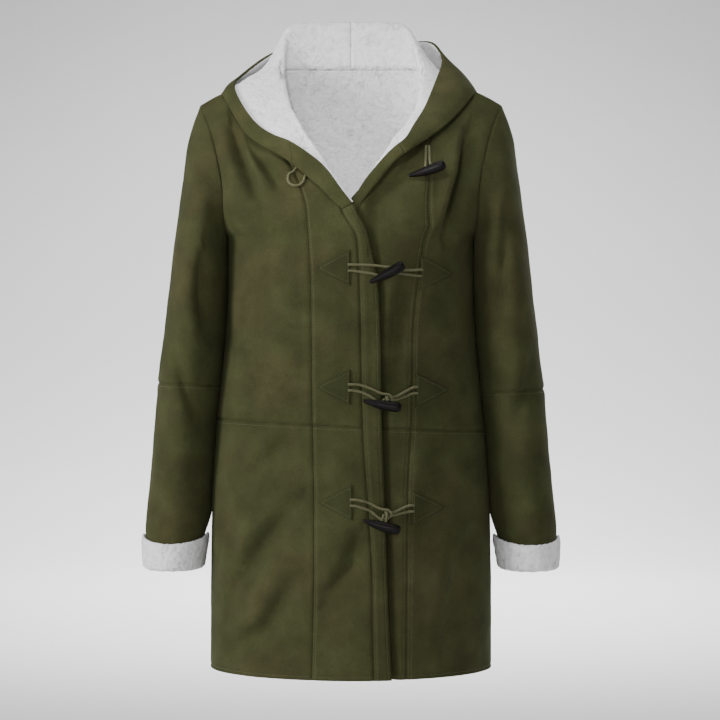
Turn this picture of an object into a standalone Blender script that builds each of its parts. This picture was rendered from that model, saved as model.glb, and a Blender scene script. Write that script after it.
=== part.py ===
"""Hooded duffle jacket in bonded faux suede and sherpa fleece, as worn, hood down.

+X is the wearer's left, -Y the front, +Z up. The origin lies midway between the shoulders, level with
the neck points. All tables are in millimetres; meshes are made in metres.
"right" and "left" are the wearer's, so the right side has negative X.
"""
import math

import bpy
from mathutils import Vector
from mathutils.bvhtree import BVHTree

MM = 0.001

# ---------------------------------------------------------------- driving dimensions
WALL = 3.0              # bonded cloth: suede face and fleece back together
SEAM_GAP = 0.3          # between two pieces that are sewn edge to edge
LAP_RISE = 4.4          # how far the right front stands off the left front where it laps over it
LAP_START = -60.0       # X where the right front starts to rise towards the lap
LAP_FULL = -13.0        # X where it is clear of the left front
HALF_WAIST = 172.0      # half width at the waist seam, which the tilt of the seam is stated for
CUFF_WALL = 4.2         # turned-back fleece
CUFF_CLEAR = 0.5
PATCH_WALL = 1.4
PATCH_CLEAR = 0.7
PATCH_HEIGHT = 44.0     # inner side of a pointed patch
PATCH_LENGTH = 43.0     # from that side to the point
CORD_RADIUS = 1.75
CORD_CLEAR = 0.9        # under a cord that lies on the cloth
CORD_LAYER = 4.0        # centre of one cord over the centre of another
STRAND_HALF = 1.95      # half the spacing of two strands that run side by side
LOOP_HALF = 5.9         # half the inside width of a closure loop, to the cord's centre
TOGGLE_HOLE_RADIUS = 2.1
TOGGLE_HOLE_REACH = 3.6  # each hole's distance from the toggle's middle
TOGGLE_SIDES = 12

# row numbers that the seams lie on
HEM, WAIST, UNDERARM, V_ROW, SHOULDER = 0, 5, 9, 11, 15
LOWER_STEPS, CHEST_STEPS, YOKE_STEPS = 7, 5, 12     # grid rows up to waist, underarm and shoulder

# Front rows, hem to shoulder: side seam or armhole end, centre or neckline end, roundness of the row
# between them (1 is a quarter ellipse, 0 a straight line) and how far the row tilts across the body.
FRONT_ROWS = [
    # out_x, out_y, out_z, in_x, in_y, in_z, round, tilt
    (180.5, 0.0, -755.0, 0.0, -131.0, -755.0, 1.0, 0.0),
    (180.5, 0.0, -690.0, 0.0, -129.0, -690.0, 1.0, 1.0),
    (180.0, 0.0, -620.0, 0.0, -127.0, -620.0, 1.0, 3.0),
    (178.5, 0.0, -540.0, 0.0, -123.0, -540.0, 1.0, 5.0),
    (175.5, 0.0, -488.0, 0.0, -119.0, -488.0, 1.0, 7.0),
    (172.0, 0.0, -443.5, 0.0, -117.0, -443.5, 1.0, 7.5),
    (166.0, 0.0, -385.0, 0.0, -119.0, -385.0, 1.0, 6.0),
    (160.5, 0.0, -325.0, 0.0, -124.0, -325.0, 1.0, 4.0),
    (158.0, 0.0, -265.0, 0.0, -130.0, -265.0, 1.0, 2.0),
    (158.0, 0.0, -212.0, 0.0, -130.0, -212.0, 1.0, 0.0),
    (159.5, -32.0, -195.0, 0.0, -127.0, -192.0, 0.98, 0.0),
    (160.5, -50.0, -170.0, 0.0, -121.0, -172.0, 0.95, 0.0),
    (162.5, -53.0, -139.0, 34.0, -104.0, -135.0, 0.80, 0.0),
    (169.0, -42.0, -107.0, 62.0, -78.0, -93.0, 0.60, 0.0),
    (181.0, -18.0, -66.0, 85.0, -33.0, -48.0, 0.40, 0.0),
    (195.0, 8.0, -35.0, 93.5, 10.0, -10.0, 0.0, 0.0),
]

# Back rows, hem to shoulder. Up to the underarm they start at the front's side seam.
BACK_ROWS = [
    # out_x, out_y, out_z, in_x, in_y, in_z, round, tilt
    (180.5, 0.0, -755.0, 0.0, 121.0, -755.0, 1.0, 0.0),
    (180.5, 0.0, -690.0, 0.0, 121.0, -690.0, 1.0, 1.0),
    (180.0, 0.0, -620.0, 0.0, 119.0, -620.0, 1.0, 3.0),
    (178.5, 0.0, -540.0, 0.0, 115.0, -540.0, 1.0, 5.0),
    (175.5, 0.0, -488.0, 0.0, 110.0, -488.0, 1.0, 7.0),
    (172.0, 0.0, -443.5, 0.0, 105.0, -443.5, 1.0, 7.5),
    (166.0, 0.0, -385.0, 0.0, 101.0, -385.0, 1.0, 6.0),
    (160.5, 0.0, -325.0, 0.0, 103.0, -325.0, 1.0, 4.0),
    (158.0, 0.0, -265.0, 0.0, 109.0, -265.0, 1.0, 2.0),
    (158.0, 0.0, -212.0, 0.0, 113.0, -212.0, 1.0, 0.0),
    (161.0, 36.0, -195.0, 0.0, 114.0, -178.0, 0.98, 0.0),
    (166.0, 56.0, -170.0, 0.0, 113.0, -143.0, 0.92, 0.0),
    (172.0, 60.0, -139.0, 0.0, 108.0, -107.0, 0.85, 0.0),
    (178.0, 54.0, -107.0, 0.0, 100.0, -70.0, 0.75, 0.0),
    (187.0, 34.0, -66.0, 0.0, 84.0, -24.0, 0.60, 0.0),
    (195.0, 8.0, -35.0, 0.0, 62.0, 21.5, 0.40, 0.0),
]

# Back neckline, from the neck point at the shoulder seam to the centre back.
BACK_NECK = [
    # x, y, z
    (93.5, 10.0, -10.0),
    (93.5, 28.0, 4.0),
    (86.0, 50.0, 19.0),
    (50.0, 60.0, 21.5),
    (0.0, 62.0, 21.5),
]

# Where the long seams cross each row, as X in the frame; the last four rows run up to the shoulder.
SEAM_ROWS = [
    # right princess, left princess, placket seam, lapping edge
    (-47.7, 69.0, 28.4, 50.0),
    (-46.0, 69.5, 27.0, 46.5),
    (-45.0, 70.0, 26.3, 44.0),
    (-45.0, 70.5, 21.5, 41.5),
    (-46.0, 72.5, 17.6, 39.5),
    (-47.0, 75.5, 15.0, 38.0),
    (-48.0, 76.5, 13.4, 37.0),
    (-48.3, 78.0, 12.5, 35.5),
    (-49.0, 84.0, 10.8, 32.5),
    (-52.0, 92.0, 7.5, 22.0),
    (-53.5, 98.0, -2.5, 14.0),
    (-55.0, 97.0, -11.0, 3.0),
    (-66.0, 98.5, 0.0, 0.0),
    (-86.0, 99.0, 0.0, 0.0),
    (-104.0, 106.0, 0.0, 0.0),
    (-119.0, 119.0, 0.0, 0.0),
]
RIGHT_PRINCESS, LEFT_PRINCESS, PLACKET_SEAM, LAP_EDGE = 0, 1, 2, 3
HIDDEN_EDGE_X = -8.0    # the left front's own edge, under the lap

# Sleeve rings from the armhole to the wrist.
SLEEVE_RINGS = [
    # outer_x, outer_z, inner_x, inner_z, front_y, back_y
    (195.3, -35.0, 158.3, -212.0, -53.0, 60.0),
    (209.5, -74.0, 162.5, -227.0, -62.0, 72.0),
    (215.5, -116.0, 162.7, -246.0, -69.0, 79.0),
    (222.0, -166.0, 161.7, -263.0, -72.0, 82.0),
    (228.5, -218.0, 162.0, -283.0, -72.0, 82.0),
    (235.0, -278.0, 163.5, -313.0, -70.0, 80.0),
    (243.0, -344.0, 167.5, -358.0, -66.0, 76.0),
    (249.0, -394.0, 171.5, -398.0, -62.0, 72.0),
    (254.0, -455.0, 177.0, -456.0, -58.0, 68.0),
    (259.5, -520.0, 182.0, -518.0, -54.0, 62.0),
    (265.0, -583.0, 188.0, -580.0, -50.0, 56.0),
    (262.5, -624.0, 195.0, -624.0, -46.0, 50.0),
]
ELBOW, WRIST = 7, 11
SLEEVE_SIDES = 24
SLEEVE_DROP = {-1: 4.0, 1: -4.0}    # the right elbow seam hangs a little higher than the left one

# Hood, worn down, and the turned front edge below it. Each row is one section across the roll: the
# ridge that the cloth rises to, the bottom of the roll and the free edge, all on the suede side, the
# lift of the cloth between ridge and bottom, and how far the roll bellies out below its free edge.
RIGHT_HOOD_ROWS = [
    # station, ridge x, y, z, bottom x, y, z, edge x, y, z, lift, belly
    (0.0, -1.0, -124.0, -165.0, 2.0, -133.0, -188.0, -3.0, -135.0, -169.0, 0.0, 0.5),
    (1.0, 31.0, -98.0, -121.0, 35.0, -119.0, -151.0, 33.5, -112.0, -119.0, 0.0, 1.0),
    (2.0, 57.0, -70.0, -82.0, 73.0, -101.0, -117.0, 75.0, -95.0, -88.0, 2.0, 2.0),
    (2.5, 68.0, -50.0, -62.0, 92.0, -93.0, -104.0, 90.0, -84.0, -82.0, 2.0, 2.0),
    (3.0, 79.0, -28.0, -40.0, 128.0, -68.0, -81.0, 118.5, -58.0, -66.0, 3.0, 2.0),
    (3.5, 85.0, -5.0, -18.0, 149.0, -38.0, -50.0, 139.0, -30.0, -38.0, 5.0, 2.0),
    (4.0, 88.0, 9.0, -2.0, 163.0, -6.0, -24.0, 150.0, -3.0, -13.0, 7.0, 3.0),
    (4.5, 90.5, 20.0, 6.0, 168.0, 14.0, -19.0, 151.0, 12.0, 0.0, 9.0, 3.0),
    (5.0, 90.0, 33.0, 20.0, 168.0, 36.0, -26.0, 147.0, 28.0, 15.0, 10.0, 5.0),
    (6.0, 88.0, 62.0, 60.0, 146.0, 80.0, -68.0, 122.0, 64.0, 46.0, 8.0, 13.0),
    (6.5, 79.0, 71.0, 77.0, 112.0, 116.0, -112.0, 90.0, 96.0, 56.0, 4.0, 20.0),
    (7.0, 58.0, 75.0, 82.0, 82.0, 132.0, -138.0, 62.0, 108.0, 60.0, 0.0, 25.0),
    (8.0, 0.0, 77.0, 83.0, 0.0, 143.0, -168.0, 0.0, 116.0, 62.0, 0.0, 28.0),
]
LEFT_HOOD_ROWS = [
    # station, ridge x, y, z, bottom x, y, z, edge x, y, z, lift, belly
    (1.0, 31.0, -98.0, -124.0, 38.0, -111.0, -136.0, 31.0, -110.0, -121.0, 0.0, 0.5),
    (1.5, 45.0, -85.0, -105.0, 52.0, -104.0, -117.0, 45.0, -97.0, -104.0, 0.0, 0.5),
    (2.0, 58.0, -70.0, -84.0, 66.0, -97.0, -105.0, 57.0, -87.0, -92.0, 0.0, 1.0),
    (2.5, 72.0, -54.0, -65.0, 86.0, -84.0, -91.0, 68.0, -76.0, -80.0, 0.0, 3.0),
    (3.0, 85.0, -30.0, -42.0, 118.0, -56.0, -66.0, 90.0, -46.0, -50.0, 0.0, 4.0),
    (3.5, 89.0, -11.0, -22.0, 141.0, -26.0, -42.0, 101.0, -20.0, -24.0, 0.0, 5.0),
    (4.0, 90.0, 9.0, -4.0, 158.0, 2.0, -23.0, 110.0, 6.0, 2.0, 0.0, 6.0),
    (4.5, 90.5, 20.0, 6.0, 166.0, 18.0, -17.0, 115.0, 20.0, 16.0, 0.0, 7.0),
    (5.0, 90.0, 38.0, 27.0, 168.0, 42.0, -26.0, 121.0, 42.0, 36.0, 0.0, 8.0),
    (6.0, 80.0, 60.0, 62.0, 148.0, 80.0, -66.0, 108.0, 68.0, 60.0, 0.0, 12.0),
    (6.5, 71.0, 70.0, 77.0, 114.0, 116.0, -112.0, 88.0, 92.0, 64.0, 0.0, 20.0),
    (7.0, 54.0, 75.0, 82.0, 82.0, 132.0, -138.0, 60.0, 106.0, 64.0, 0.0, 25.0),
    (8.0, 0.0, 77.0, 83.0, 0.0, 143.0, -168.0, 0.0, 116.0, 62.0, 0.0, 28.0),
]
HOOD_ROWS = {-1: RIGHT_HOOD_ROWS, 1: LEFT_HOOD_ROWS}
HOOD_START, HOOD_END = 2.0, 8.0
ROLL_STEPS = (2, 3, 3, 1, 1, 2, 3)      # grid steps between a section's control points
NEAR_CLEAR = 1.3        # under the layer of the roll that lies on the body
ROLL_BEND = 8.6         # suede to suede, between the roll's two layers

# Largest folds, each a soft trough (negative depth) or ridge along three points.
FRONT_FOLDS = [
    # x0, z0, x1, z1, x2, z2, half width, depth
    (-153.0, -63.0, -140.0, -110.0, -119.0, -158.0, 9.0, -5.5),
    (-129.0, -88.0, -110.0, -116.0, -90.0, -146.0, 8.0, -4.0),
    (149.0, -70.0, 141.0, -125.0, 117.0, -206.0, 9.0, -7.0),
    (71.0, -261.0, 56.0, -308.0, 47.0, -386.0, 9.0, -4.5),
    (-74.0, -456.0, -103.0, -481.0, -133.0, -506.0, 10.0, -3.0),
    (-74.0, -540.0, -113.0, -590.0, -144.0, -641.0, 12.0, -6.0),
    (-71.0, -633.0, -109.0, -693.0, -140.0, -716.0, 11.0, -5.0),
    (10.0, -578.0, -2.0, -615.0, -28.0, -650.0, 10.0, -4.0),
    (112.0, -465.0, 99.0, -515.0, 90.0, -570.0, 12.0, -3.0),
    (150.0, -575.0, 132.0, -640.0, 120.0, -715.0, 13.0, -4.0),
]
BACK_FOLDS = [
    # x0, z0, x1, z1, x2, z2, half width, depth
    (-138.0, -120.0, -118.0, -175.0, -92.0, -235.0, 11.0, -5.0),
    (140.0, -115.0, 122.0, -170.0, 96.0, -225.0, 11.0, -5.5),
    (-120.0, -330.0, -60.0, -365.0, 20.0, -380.0, 11.0, -4.0),
    (118.0, -350.0, 60.0, -395.0, -10.0, -415.0, 11.0, -3.5),
    (-95.0, -470.0, -82.0, -560.0, -74.0, -660.0, 14.0, -5.0),
    (20.0, -480.0, 26.0, -580.0, 34.0, -690.0, 15.0, -4.0),
    (105.0, -465.0, 118.0, -560.0, 126.0, -680.0, 14.0, -5.5),
]
SLEEVE_FOLDS = [
    # side, front (-1) or back (1), x0, z0, x1, z1, x2, z2, half width, depth
    (-1, -1, 186.0, -228.0, 190.0, -280.0, 180.0, -335.0, 9.0, -5.0),
    (-1, -1, 232.0, -330.0, 215.0, -385.0, 196.0, -430.0, 10.0, -3.5),
    (-1, 1, 225.0, -250.0, 205.0, -310.0, 186.0, -350.0, 10.0, -4.5),
    (-1, 1, 238.0, -380.0, 220.0, -430.0, 200.0, -465.0, 10.0, -4.0),
    (1, -1, 196.0, -165.0, 192.0, -225.0, 184.0, -290.0, 9.0, -4.5),
    (1, -1, 236.0, -350.0, 222.0, -400.0, 205.0, -440.0, 11.0, -3.5),
    (1, 1, 226.0, -230.0, 206.0, -290.0, 186.0, -340.0, 10.0, -4.5),
    (1, 1, 240.0, -400.0, 222.0, -445.0, 202.0, -480.0, 10.0, -4.0),
]

# Closures: heights of the patches, where the cords cross, and the toggle's middle and tilt.
CLOSURES = [
    # right patch x, z, left patch x, z, eye of the loop x, z, toggle x, z, tilt in degrees
    (0.5, -248.0, 85.0, -253.0, 44.0, -252.6, 46.0, -255.0, 28.0),
    (0.5, -394.5, 79.5, -398.5, 42.0, -408.6, 40.5, -416.0, -10.0),
    (3.0, -536.5, 74.5, -544.5, 41.0, -550.3, 39.5, -564.0, -15.0),
]
PATCH_STRANDS = 3.7     # half the spacing of a cord's strands at its patch
TOGGLE_HEIGHT = 12.9    # the toggle's axis in front of the loop's cord
NECK_TOGGLE = {"x": 93.5, "z": -131.0, "tilt": 18.5, "height": 13.4}
TOGGLE_PROFILE = [
    # distance along the axis from the middle, radius
    (-26.0, 0.0),
    (-25.4, 1.7),
    (-21.0, 2.8),
    (-13.0, 4.3),
    (-5.5, 5.6),
    (4.0, 6.2),
    (13.0, 6.4),
    (19.0, 5.8),
    (21.6, 4.0),
    (22.2, 0.0),
]

COLOURS = {
    # base colour, roughness
    "suede": ((0.085, 0.090, 0.042), 0.85),
    "fleece": ((0.80, 0.80, 0.81), 0.95),
    "cord": ((0.11, 0.115, 0.055), 0.75),
    "horn": ((0.022, 0.014, 0.012), 0.28),
}


# ---------------------------------------------------------------- helpers
def held_slope(before, after):
    """Slope at a row between two steps; flat where they turn round, so that nothing overshoots."""
    if before * after <= 0.0:
        return 0.0
    return math.copysign(min(abs(before + after) / 2.0, 3.0 * abs(before), 3.0 * abs(after)), before)


def spline(rows, position, column):
    """One column of a table, read smoothly at a position counted in rows."""
    last = len(rows) - 1
    start = min(max(int(math.floor(position)), 0), last - 1)
    f = position - start
    p1, p2 = rows[start][column], rows[start + 1][column]
    p0 = rows[start - 1][column] if start > 0 else 2.0 * p1 - p2
    p3 = rows[start + 2][column] if start + 2 <= last else 2.0 * p2 - p1
    rise = p2 - p1
    slope1, slope2 = held_slope(p1 - p0, rise), held_slope(rise, p3 - p2)
    return p1 + f * (slope1 + f * (3.0 * rise - 2.0 * slope1 - slope2 + f * (slope1 + slope2 - 2.0 * rise)))


def read_row(rows, position):
    return [spline(rows, position, column) for column in range(len(rows[0]))]


def read_station(rows, station):
    """A row of a table whose first column is the station, read smoothly at any station."""
    index = 0
    while index < len(rows) - 2 and rows[index + 1][0] <= station:
        index += 1
    span = rows[index + 1][0] - rows[index][0]
    return read_row(rows, index + (station - rows[index][0]) / span)


def curve_through(points, steps):
    """Points along a smooth curve through the given ones; steps is one number or one for each stretch."""
    points = [Vector(point) for point in points]
    count = len(points) - 1
    if isinstance(steps, int):
        steps = [steps] * count
    lengths = [max((points[i + 1] - points[i]).length, 1e-6) for i in range(count)]
    chords = [(points[i + 1] - points[i]) / lengths[i] for i in range(count)]
    slopes = [chords[0]]
    for i in range(1, count):
        both = lengths[i - 1] + lengths[i]
        slopes.append((chords[i - 1] * lengths[i] + chords[i] * lengths[i - 1]) / both)
    slopes.append(chords[-1])
    smooth = []
    for i in range(count):
        for step in range(steps[i]):
            f = step / steps[i]
            start, end = slopes[i] * lengths[i], slopes[i + 1] * lengths[i]
            rise = points[i + 1] - points[i]
            smooth.append(points[i] + f * (start + f * (3.0 * rise - 2.0 * start - end
                                                        + f * (start + end - 2.0 * rise))))
    smooth.append(points[-1])
    return smooth


def smoothstep(value):
    value = min(max(value, 0.0), 1.0)
    return value * value * (3.0 - 2.0 * value)


def steps_between(start, end, count):
    return [start + (end - start) * index / count for index in range(count + 1)]


def fold_depth(folds, x, z):
    """Depth of all folds at a place: each fades across its width and towards both its ends."""
    total = 0.0
    for x0, z0, x1, z1, x2, z2, half_width, depth in folds:
        if min(z0, z2) - 3 * half_width < z < max(z0, z2) + 3 * half_width:
            best = None
            for (ax, az, bx, bz, offset) in ((x0, z0, x1, z1, 0.0), (x1, z1, x2, z2, 0.5)):
                along_x, along_z = bx - ax, bz - az
                place = ((x - ax) * along_x + (z - az) * along_z) / (along_x ** 2 + along_z ** 2)
                held = min(max(place, 0.0), 1.0)
                distance = math.hypot(x - ax - held * along_x, z - az - held * along_z)
                if best is None or distance < best[0]:
                    best = (distance, offset + held / 2.0)
            distance, place = best
            along = math.sin(math.pi * (0.12 + 0.76 * place))
            total += depth * math.exp(-(distance / half_width) ** 2) * along
    return total


# ---------------------------------------------------------------- body surface
def row_point(rows, side, row, u):
    """A point of a body row: u is 0 at the side seam or armhole and 1 at the centre or neckline."""
    out_x, out_y, out_z, in_x, in_y, in_z, roundness, tilt = read_row(rows, row)
    angle = math.pi / 2.0 * u
    across = (1.0 - roundness) * u + roundness * (1.0 - math.cos(angle))
    deep = (1.0 - roundness) * u + roundness * math.sin(angle)
    x = out_x + (in_x - out_x) * across
    y = out_y + (in_y - out_y) * deep
    z = out_z + (in_z - out_z) * across - tilt * side * x / HALF_WAIST
    return Vector((side * x, y, z))


def back_top(side, u):
    """The back's top edge: shoulder seam up to u = 0.5, then the neckline to the centre back."""
    if u <= 0.5:
        point = Vector(FRONT_ROWS[SHOULDER][0:3]).lerp(Vector(BACK_NECK[0]), 2.0 * u)
    else:
        point = Vector([spline(BACK_NECK, 8.0 * (u - 0.5), axis) for axis in range(3)])
    return Vector((side * point.x, point.y, point.z))


def plain_surface(face, side, row, u):
    if face == "front":
        return row_point(FRONT_ROWS, side, row, u)
    point = row_point(BACK_ROWS, side, row, u)
    if row > V_ROW:
        share = ((row - V_ROW) / (SHOULDER - V_ROW)) ** 1.6
        point = point + share * (back_top(side, u) - row_point(BACK_ROWS, side, SHOULDER, u))
    return point


def normal_of(surface, side, row, u, low_row, high_row):
    """Outward unit normal of a surface that is given by two parameters, by differences."""
    step = 0.02
    row_a, row_b = max(row - step, low_row), min(row + step, high_row)
    u_a, u_b = (u, u + step) if u < step else (u - step, u + step)
    up = surface(side, row_b, u) - surface(side, row_a, u)
    along = surface(side, row, u_b) - surface(side, row, u_a)
    return (along.cross(up) * side).normalized()


def plain_normal(face, side, row, u):
    facing = -1.0 if face == "front" else 1.0

    def surface(a_side, a_row, a_u):
        return plain_surface(face, a_side, a_row, a_u)

    return normal_of(surface, side, row, u, HEM, SHOULDER) * facing


def body_point(face, side, row, u):
    """The finished body surface: the plain one with its folds and the rise of the lapping front."""
    point = plain_surface(face, side, row, u)
    folds = FRONT_FOLDS if face == "front" else BACK_FOLDS
    fade = smoothstep(u / 0.2) * smoothstep((SHOULDER - row) / 1.5)
    rise = fade * fold_depth(folds, point.x, point.z)
    if face == "front" and side < 0:
        lap = smoothstep((point.x - LAP_START) / (LAP_FULL - LAP_START))
        rise += LAP_RISE * lap * smoothstep((SHOULDER - 2.0 - row) / 2.0)
    if abs(rise) > 1e-6:
        point = point + rise * plain_normal(face, side, row, u)
    return point


def sleeve_angle(face, row):
    """Angle round the armhole of a row's end: 0 at the shoulder point, 180 at the underarm."""
    share = (SHOULDER - row) / (SHOULDER - UNDERARM)
    return 180.0 * share if face == "front" else 360.0 - 180.0 * share


def sleeve_ellipse(side, ring, angle):
    outer_x, outer_z, inner_x, inner_z, front_y, back_y = read_row(SLEEVE_RINGS, ring)
    turn = math.radians(angle)
    drop = SLEEVE_DROP[side] * math.exp(-((ring - ELBOW) / 2.5) ** 2)
    middle = Vector(((outer_x + inner_x) / 2.0, (front_y + back_y) / 2.0, (outer_z + inner_z) / 2.0 + drop))
    reach = Vector(((outer_x - inner_x) / 2.0, 0.0, (outer_z - inner_z) / 2.0))
    point = middle + reach * math.cos(turn) - Vector((0.0, (back_y - front_y) / 2.0, 0.0)) * math.sin(turn)
    return Vector((side * point.x, point.y, point.z))


def armhole_point(side, angle):
    """A point of the armhole, just outside the body's edge."""
    angle = angle % 360.0
    face = "front" if angle <= 180.0 else "back"
    share = angle / 180.0 if angle <= 180.0 else (360.0 - angle) / 180.0
    point = plain_surface(face, side, SHOULDER - (SHOULDER - UNDERARM) * share, 0.0)
    return point + Vector((side * SEAM_GAP, 0.0, 0.0))


def sleeve_surface(side, ring, angle):
    point = sleeve_ellipse(side, ring, angle)
    if ring < 4.0:
        share = (1.0 - ring / 4.0) ** 2
        point = point + share * (armhole_point(side, angle) - sleeve_ellipse(side, 0.0, angle))
    return point


def sleeve_plain_normal(side, ring, angle):
    step = 0.02
    below, above = min(ring + step, WRIST), max(ring - step, 0.0)
    down = sleeve_surface(side, below, angle) - sleeve_surface(side, above, angle)
    around = sleeve_surface(side, ring, angle + 1.0) - sleeve_surface(side, ring, angle - 1.0)
    return (around.cross(down) * side).normalized()


def sleeve_point(side, ring, angle):
    point = sleeve_surface(side, ring, angle)
    facing = -1 if math.sin(math.radians(angle)) > 0.0 else 1
    folds = [fold[2:] for fold in SLEEVE_FOLDS if fold[0] == side and fold[1] == facing]
    lean = abs(math.sin(math.radians(angle)))
    depth = fold_depth(folds, abs(point.x), point.z) * smoothstep(ring / 2.0) * lean
    if abs(depth) > 1e-6:
        point = point + depth * sleeve_plain_normal(side, ring, angle)
    return point


def edge_thickness(face, side, row, u):
    """The wall's thickness as a vector. Pieces that meet at a seam share it, so their rims are parallel."""
    normals = [plain_normal(face, side, row, u)]
    other = "back" if face == "front" else "front"
    at_shoulder = row > SHOULDER - 1e-6 and (face == "front" or u <= 0.5 + 1e-6)
    at_armhole = u < 1e-6 and row >= UNDERARM - 1e-6
    if at_shoulder:
        normals.append(plain_normal(other, side, row, u / 2.0 if face == "front" else 2.0 * u))
    elif u < 1e-6 and row <= UNDERARM + 1e-6:
        normals.append(plain_normal(other, side, row, 0.0))
    body = sum(normals, Vector()).normalized()
    if not at_armhole:
        return body * WALL
    mean = (body + sleeve_plain_normal(side, 0.0, sleeve_angle(face, row))) / 2.0
    return mean.normalized() * max(mean.length, 0.4) * WALL


def sleeve_thickness(side, ring, angle):
    if ring > 1e-6:
        return sleeve_plain_normal(side, ring, angle) * WALL
    angle = angle % 360.0
    face = "front" if angle <= 180.0 else "back"
    share = angle / 180.0 if angle <= 180.0 else (360.0 - angle) / 180.0
    return edge_thickness(face, side, SHOULDER - (SHOULDER - UNDERARM) * share, 0.0)


def u_at_x(side, row, x):
    """Where a front row crosses the plane of this X."""
    low, high = 0.0, 1.6
    for _ in range(40):
        middle = (low + high) / 2.0
        if plain_surface("front", side, row, middle).x * side > x * side:
            low = middle
        else:
            high = middle
    return (low + high) / 2.0


def seam_u(seam, side, row):
    return u_at_x(side, row, spline(SEAM_ROWS, row, seam))


def centre_u(side, row):
    """Inner end of a front's centre panel: placket seam or hidden edge below the V, neckline above it."""
    if row >= V_ROW + 1:
        return 1.0
    below = min(row, V_ROW)
    if side < 0:
        inner = seam_u(PLACKET_SEAM, side, below)
    else:
        inner = u_at_x(side, below, HIDDEN_EDGE_X)
    return inner + (1.0 - inner) * max(row - V_ROW, 0.0)


# ---------------------------------------------------------------- making solids
def new_material(name, slot):
    material = bpy.data.materials.new(name)
    material.use_nodes = True
    shader = material.node_tree.nodes["Principled BSDF"]
    colour, roughness = COLOURS[slot]
    shader.inputs["Base Color"].default_value = (*colour, 1.0)
    shader.inputs["Roughness"].default_value = roughness
    shader.inputs["Metallic"].default_value = 0.0
    return material


def add_object(name, data, slot, collection):
    item = bpy.data.objects.new(name, data)
    item.data.materials.append(new_material(name + "_" + slot, slot))
    collection.objects.link(item)
    return item


def mesh_object(name, points, faces, slot, collection):
    mesh = bpy.data.meshes.new(name)
    mesh.from_pydata([tuple(MM * value for value in point) for point in points], [], faces)
    mesh.update()
    item = add_object(name, mesh, slot, collection)
    mesh.shade_smooth()
    return item


def inset_ends(line, start, end, distance):
    """Pull the ends of a row of points in along the row, which leaves the gap of a seam."""
    moved = [point.copy() for point in line]
    if start:
        moved[0] += (line[1] - line[0]).normalized() * distance
    if end:
        moved[-1] += (line[-2] - line[-1]).normalized() * distance
    return moved


def split_quad(points, corners, flip=False):
    """Two triangles, split along the shorter diagonal, so that two pieces split a shared quad alike."""
    a, b, c, d = corners
    if (points[a] - points[c]).length < (points[b] - points[d]).length:
        faces = [(a, b, c), (a, c, d)]
    else:
        faces = [(a, b, d), (b, c, d)]
    return [face[::-1] for face in faces] if flip else faces


def wall(name, outer, inner, closed, slot, collection, ends=(True, True), sides=(True, True)):
    """A closed wall between two grids of points. closed grids are tubes; ends and sides get seam gaps."""
    half_gap = SEAM_GAP / 2.0
    grids = []
    for grid in (outer, inner):
        columns = [list(column) for column in zip(*grid)]
        columns = [inset_ends(column, ends[0], ends[1], half_gap) for column in columns]
        rows = [list(row) for row in zip(*columns)]
        if not closed:
            rows = [inset_ends(row, sides[0], sides[1], half_gap) for row in rows]
        grids.append(rows)
    row_count, width = len(outer), len(outer[0])
    points = [point for grid in grids for row in grid for point in row]
    inner_start = row_count * width
    faces = []
    last_column = width if closed else width - 1
    for r in range(row_count - 1):
        for c in range(last_column):
            a, b = r * width + c, r * width + (c + 1) % width
            d, e = a + width, b + width
            for face in split_quad(points, (a, b, e, d)):
                faces.append(face)
                faces.append(tuple(inner_start + corner for corner in face[::-1]))
    for r, flip in ((0, False), (row_count - 1, True)):
        for c in range(last_column):
            a, b = r * width + c, r * width + (c + 1) % width
            faces.extend(split_quad(points, (a, inner_start + a, inner_start + b, b), flip))
    if not closed:
        for c, flip in ((0, True), (width - 1, False)):
            for r in range(row_count - 1):
                a, d = r * width + c, (r + 1) * width + c
                faces.extend(split_quad(points, (a, inner_start + a, inner_start + d, d), flip))
    middle = sum(points, Vector()) / len(points)
    volume = 0.0
    for face in faces:
        for index in range(1, len(face) - 1):
            a, b, c = points[face[0]] - middle, points[face[index]] - middle, points[face[index + 1]] - middle
            volume += a.dot(b.cross(c))
    if volume < 0.0:
        faces = [face[::-1] for face in faces]
    return mesh_object(name, points, faces, slot, collection)


def body_panel(name, face, side, rows, columns, collection, sides=(True, True)):
    """One cut panel. columns holds, for each row, the u of every point from one side to the other."""
    outer, inner = [], []
    for row in rows:
        outer_line, inner_line = [], []
        for u in columns(row):
            point = body_point(face, side, row, u)
            outer_line.append(point)
            inner_line.append(point - rim_thickness(face, side, row, u))
        outer.append(outer_line)
        inner.append(inner_line)
    free_bottom = rows[0] == HEM
    skin = (outer, name)
    SKINS.append(skin)
    return wall(name, outer, inner, False, "suede", collection, ends=(not free_bottom, True), sides=sides)


SKINS = []      # outer points of each body panel, which the hood, patches and cords lie on


# ---------------------------------------------------------------- garment pieces
def lower_rows():
    return steps_between(HEM, WAIST, LOWER_STEPS)


def upper_rows():
    return steps_between(WAIST, UNDERARM, CHEST_STEPS) + steps_between(UNDERARM, SHOULDER, YOKE_STEPS)[1:]


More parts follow.
